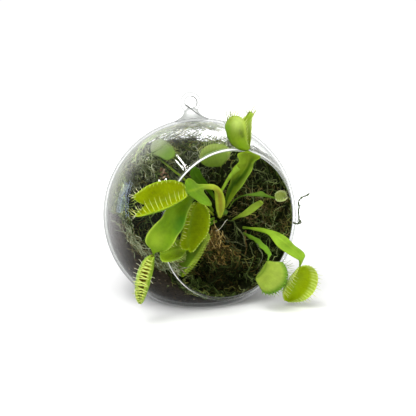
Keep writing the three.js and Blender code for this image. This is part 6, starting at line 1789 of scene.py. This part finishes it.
wn.links.new(plain.outputs["Background"], wm.inputs[1])
wn.links.new(mirror.outputs["Background"], wm.inputs[2])
wm2 = wn.nodes.new("ShaderNodeMixShader")
wn.links.new(seen.outputs["Value"], wm2.inputs["Fac"])
wn.links.new(wm.outputs["Shader"], wm2.inputs[1])
wn.links.new(full.outputs["Background"], wm2.inputs[2])
wn.links.new(wm2.outputs["Shader"], wo.inputs["Surface"])
scene.view_settings.view_transform = "Standard"


def area(name, place, aim, size, power, size_y=None, colour=(1, 1, 1), gloss=True):
    ld = bpy.data.lights.new(name, "AREA")
    ld.shape = "RECTANGLE"
    ld.size = size
    ld.size_y = size_y or size
    ld.energy = power
    ld.color = colour
    ob = bpy.data.objects.new(name, ld)
    ob.location = Vector(place)
    d = Vector(aim) - Vector(place)
    ob.rotation_euler = d.to_track_quat("-Z", "Y").to_euler()
    scene.collection.objects.link(ob)
    ob.visible_camera = False
    ob.visible_glossy = gloss
    return ob


def mirrored(px, py, dist):
    """Where, dist mm off the globe, something must stand for its reflection in the front of the glass to be seen at this place."""
    o = cam_pos / MM
    far = seen_at(px, py, 0)
    d = unit(far - o)
    oc = o - CENTRE
    bq = np.dot(oc, d)
    t = -bq - math.sqrt(bq * bq - (np.dot(oc, oc) - GLOBE_R ** 2))
    s = o + d * t
    n = unit(s - CENTRE)
    r = d - 2 * np.dot(d, n) * n
    return s + r * dist, s


def glint(name, p0, p1, width_px, radiance, dist=700.0, colour=(1, 1, 1)):
    """A bright strip placed so that the glass shows it from p0 to p1."""
    a, s = mirrored(*p0, dist)
    b, _ = mirrored(*p1, dist)
    dx, dy = p1[0] - p0[0], p1[1] - p0[1]
    ln = math.hypot(dx, dy)
    mx, my = (p0[0] + p1[0]) / 2, (p0[1] + p1[1]) / 2
    w0, _ = mirrored(mx - dy / ln * width_px / 2, my + dx / ln * width_px / 2, dist)
    w1, _ = mirrored(mx + dy / ln * width_px / 2, my - dx / ln * width_px / 2, dist)
    c, s = mirrored(mx, my, dist)
    z = unit(c - s)
    x = b - a
    length = np.linalg.norm(x)
    x = unit(x - z * np.dot(x, z))
    y = np.cross(z, x)
    wid = abs(np.dot(w1 - w0, y))
    ld = bpy.data.lights.new(name, "AREA")
    ld.shape = "RECTANGLE"
    ld.size, ld.size_y = length * MM, wid * MM
    ld.energy = radiance * math.pi * length * wid * MM * MM
    ld.color = colour
    ob = bpy.data.objects.new(name, ld)
    ob.matrix_world = Matrix(((x[0], y[0], z[0], c[0] * MM), (x[1], y[1], z[1], c[1] * MM), (x[2], y[2], z[2], c[2] * MM), (0, 0, 0, 1)))
    scene.collection.objects.link(ob)
    ob.visible_camera = False
    return ob


area("top_softbox", (-0.55, -0.45, 0.95), (0, 0, 0.05), 1.0, 14, gloss=False)
area("front_fill", (0.3, -1.1, 0.6), (0, 0, 0.06), 0.7, 4, gloss=False)
glint("window_a", (125.0, 181), (116.6, 213), 4.6, 1.9, colour=(0.55, 0.70, 1.0))
glint("window_b", (128.2, 179), (123.6, 219), 1.6, 2.8, colour=(0.60, 0.74, 1.0))
glint("lamp_a", (177.2, 154.6), (185.6, 166.4), 1.5, 26)
glint("lamp_b", (175.4, 159.4), (184.6, 169.2), 1.3, 26)
glint("lamp_c", (184.6, 166.2), (189.4, 165.4), 1.0, 20)
glint("lamp_d", (157.4, 181.2), (160.4, 180.0), 2.0, 26)
glint("lamp_e", (164.4, 180.6), (166.6, 178.4), 2.4, 26)

low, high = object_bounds()
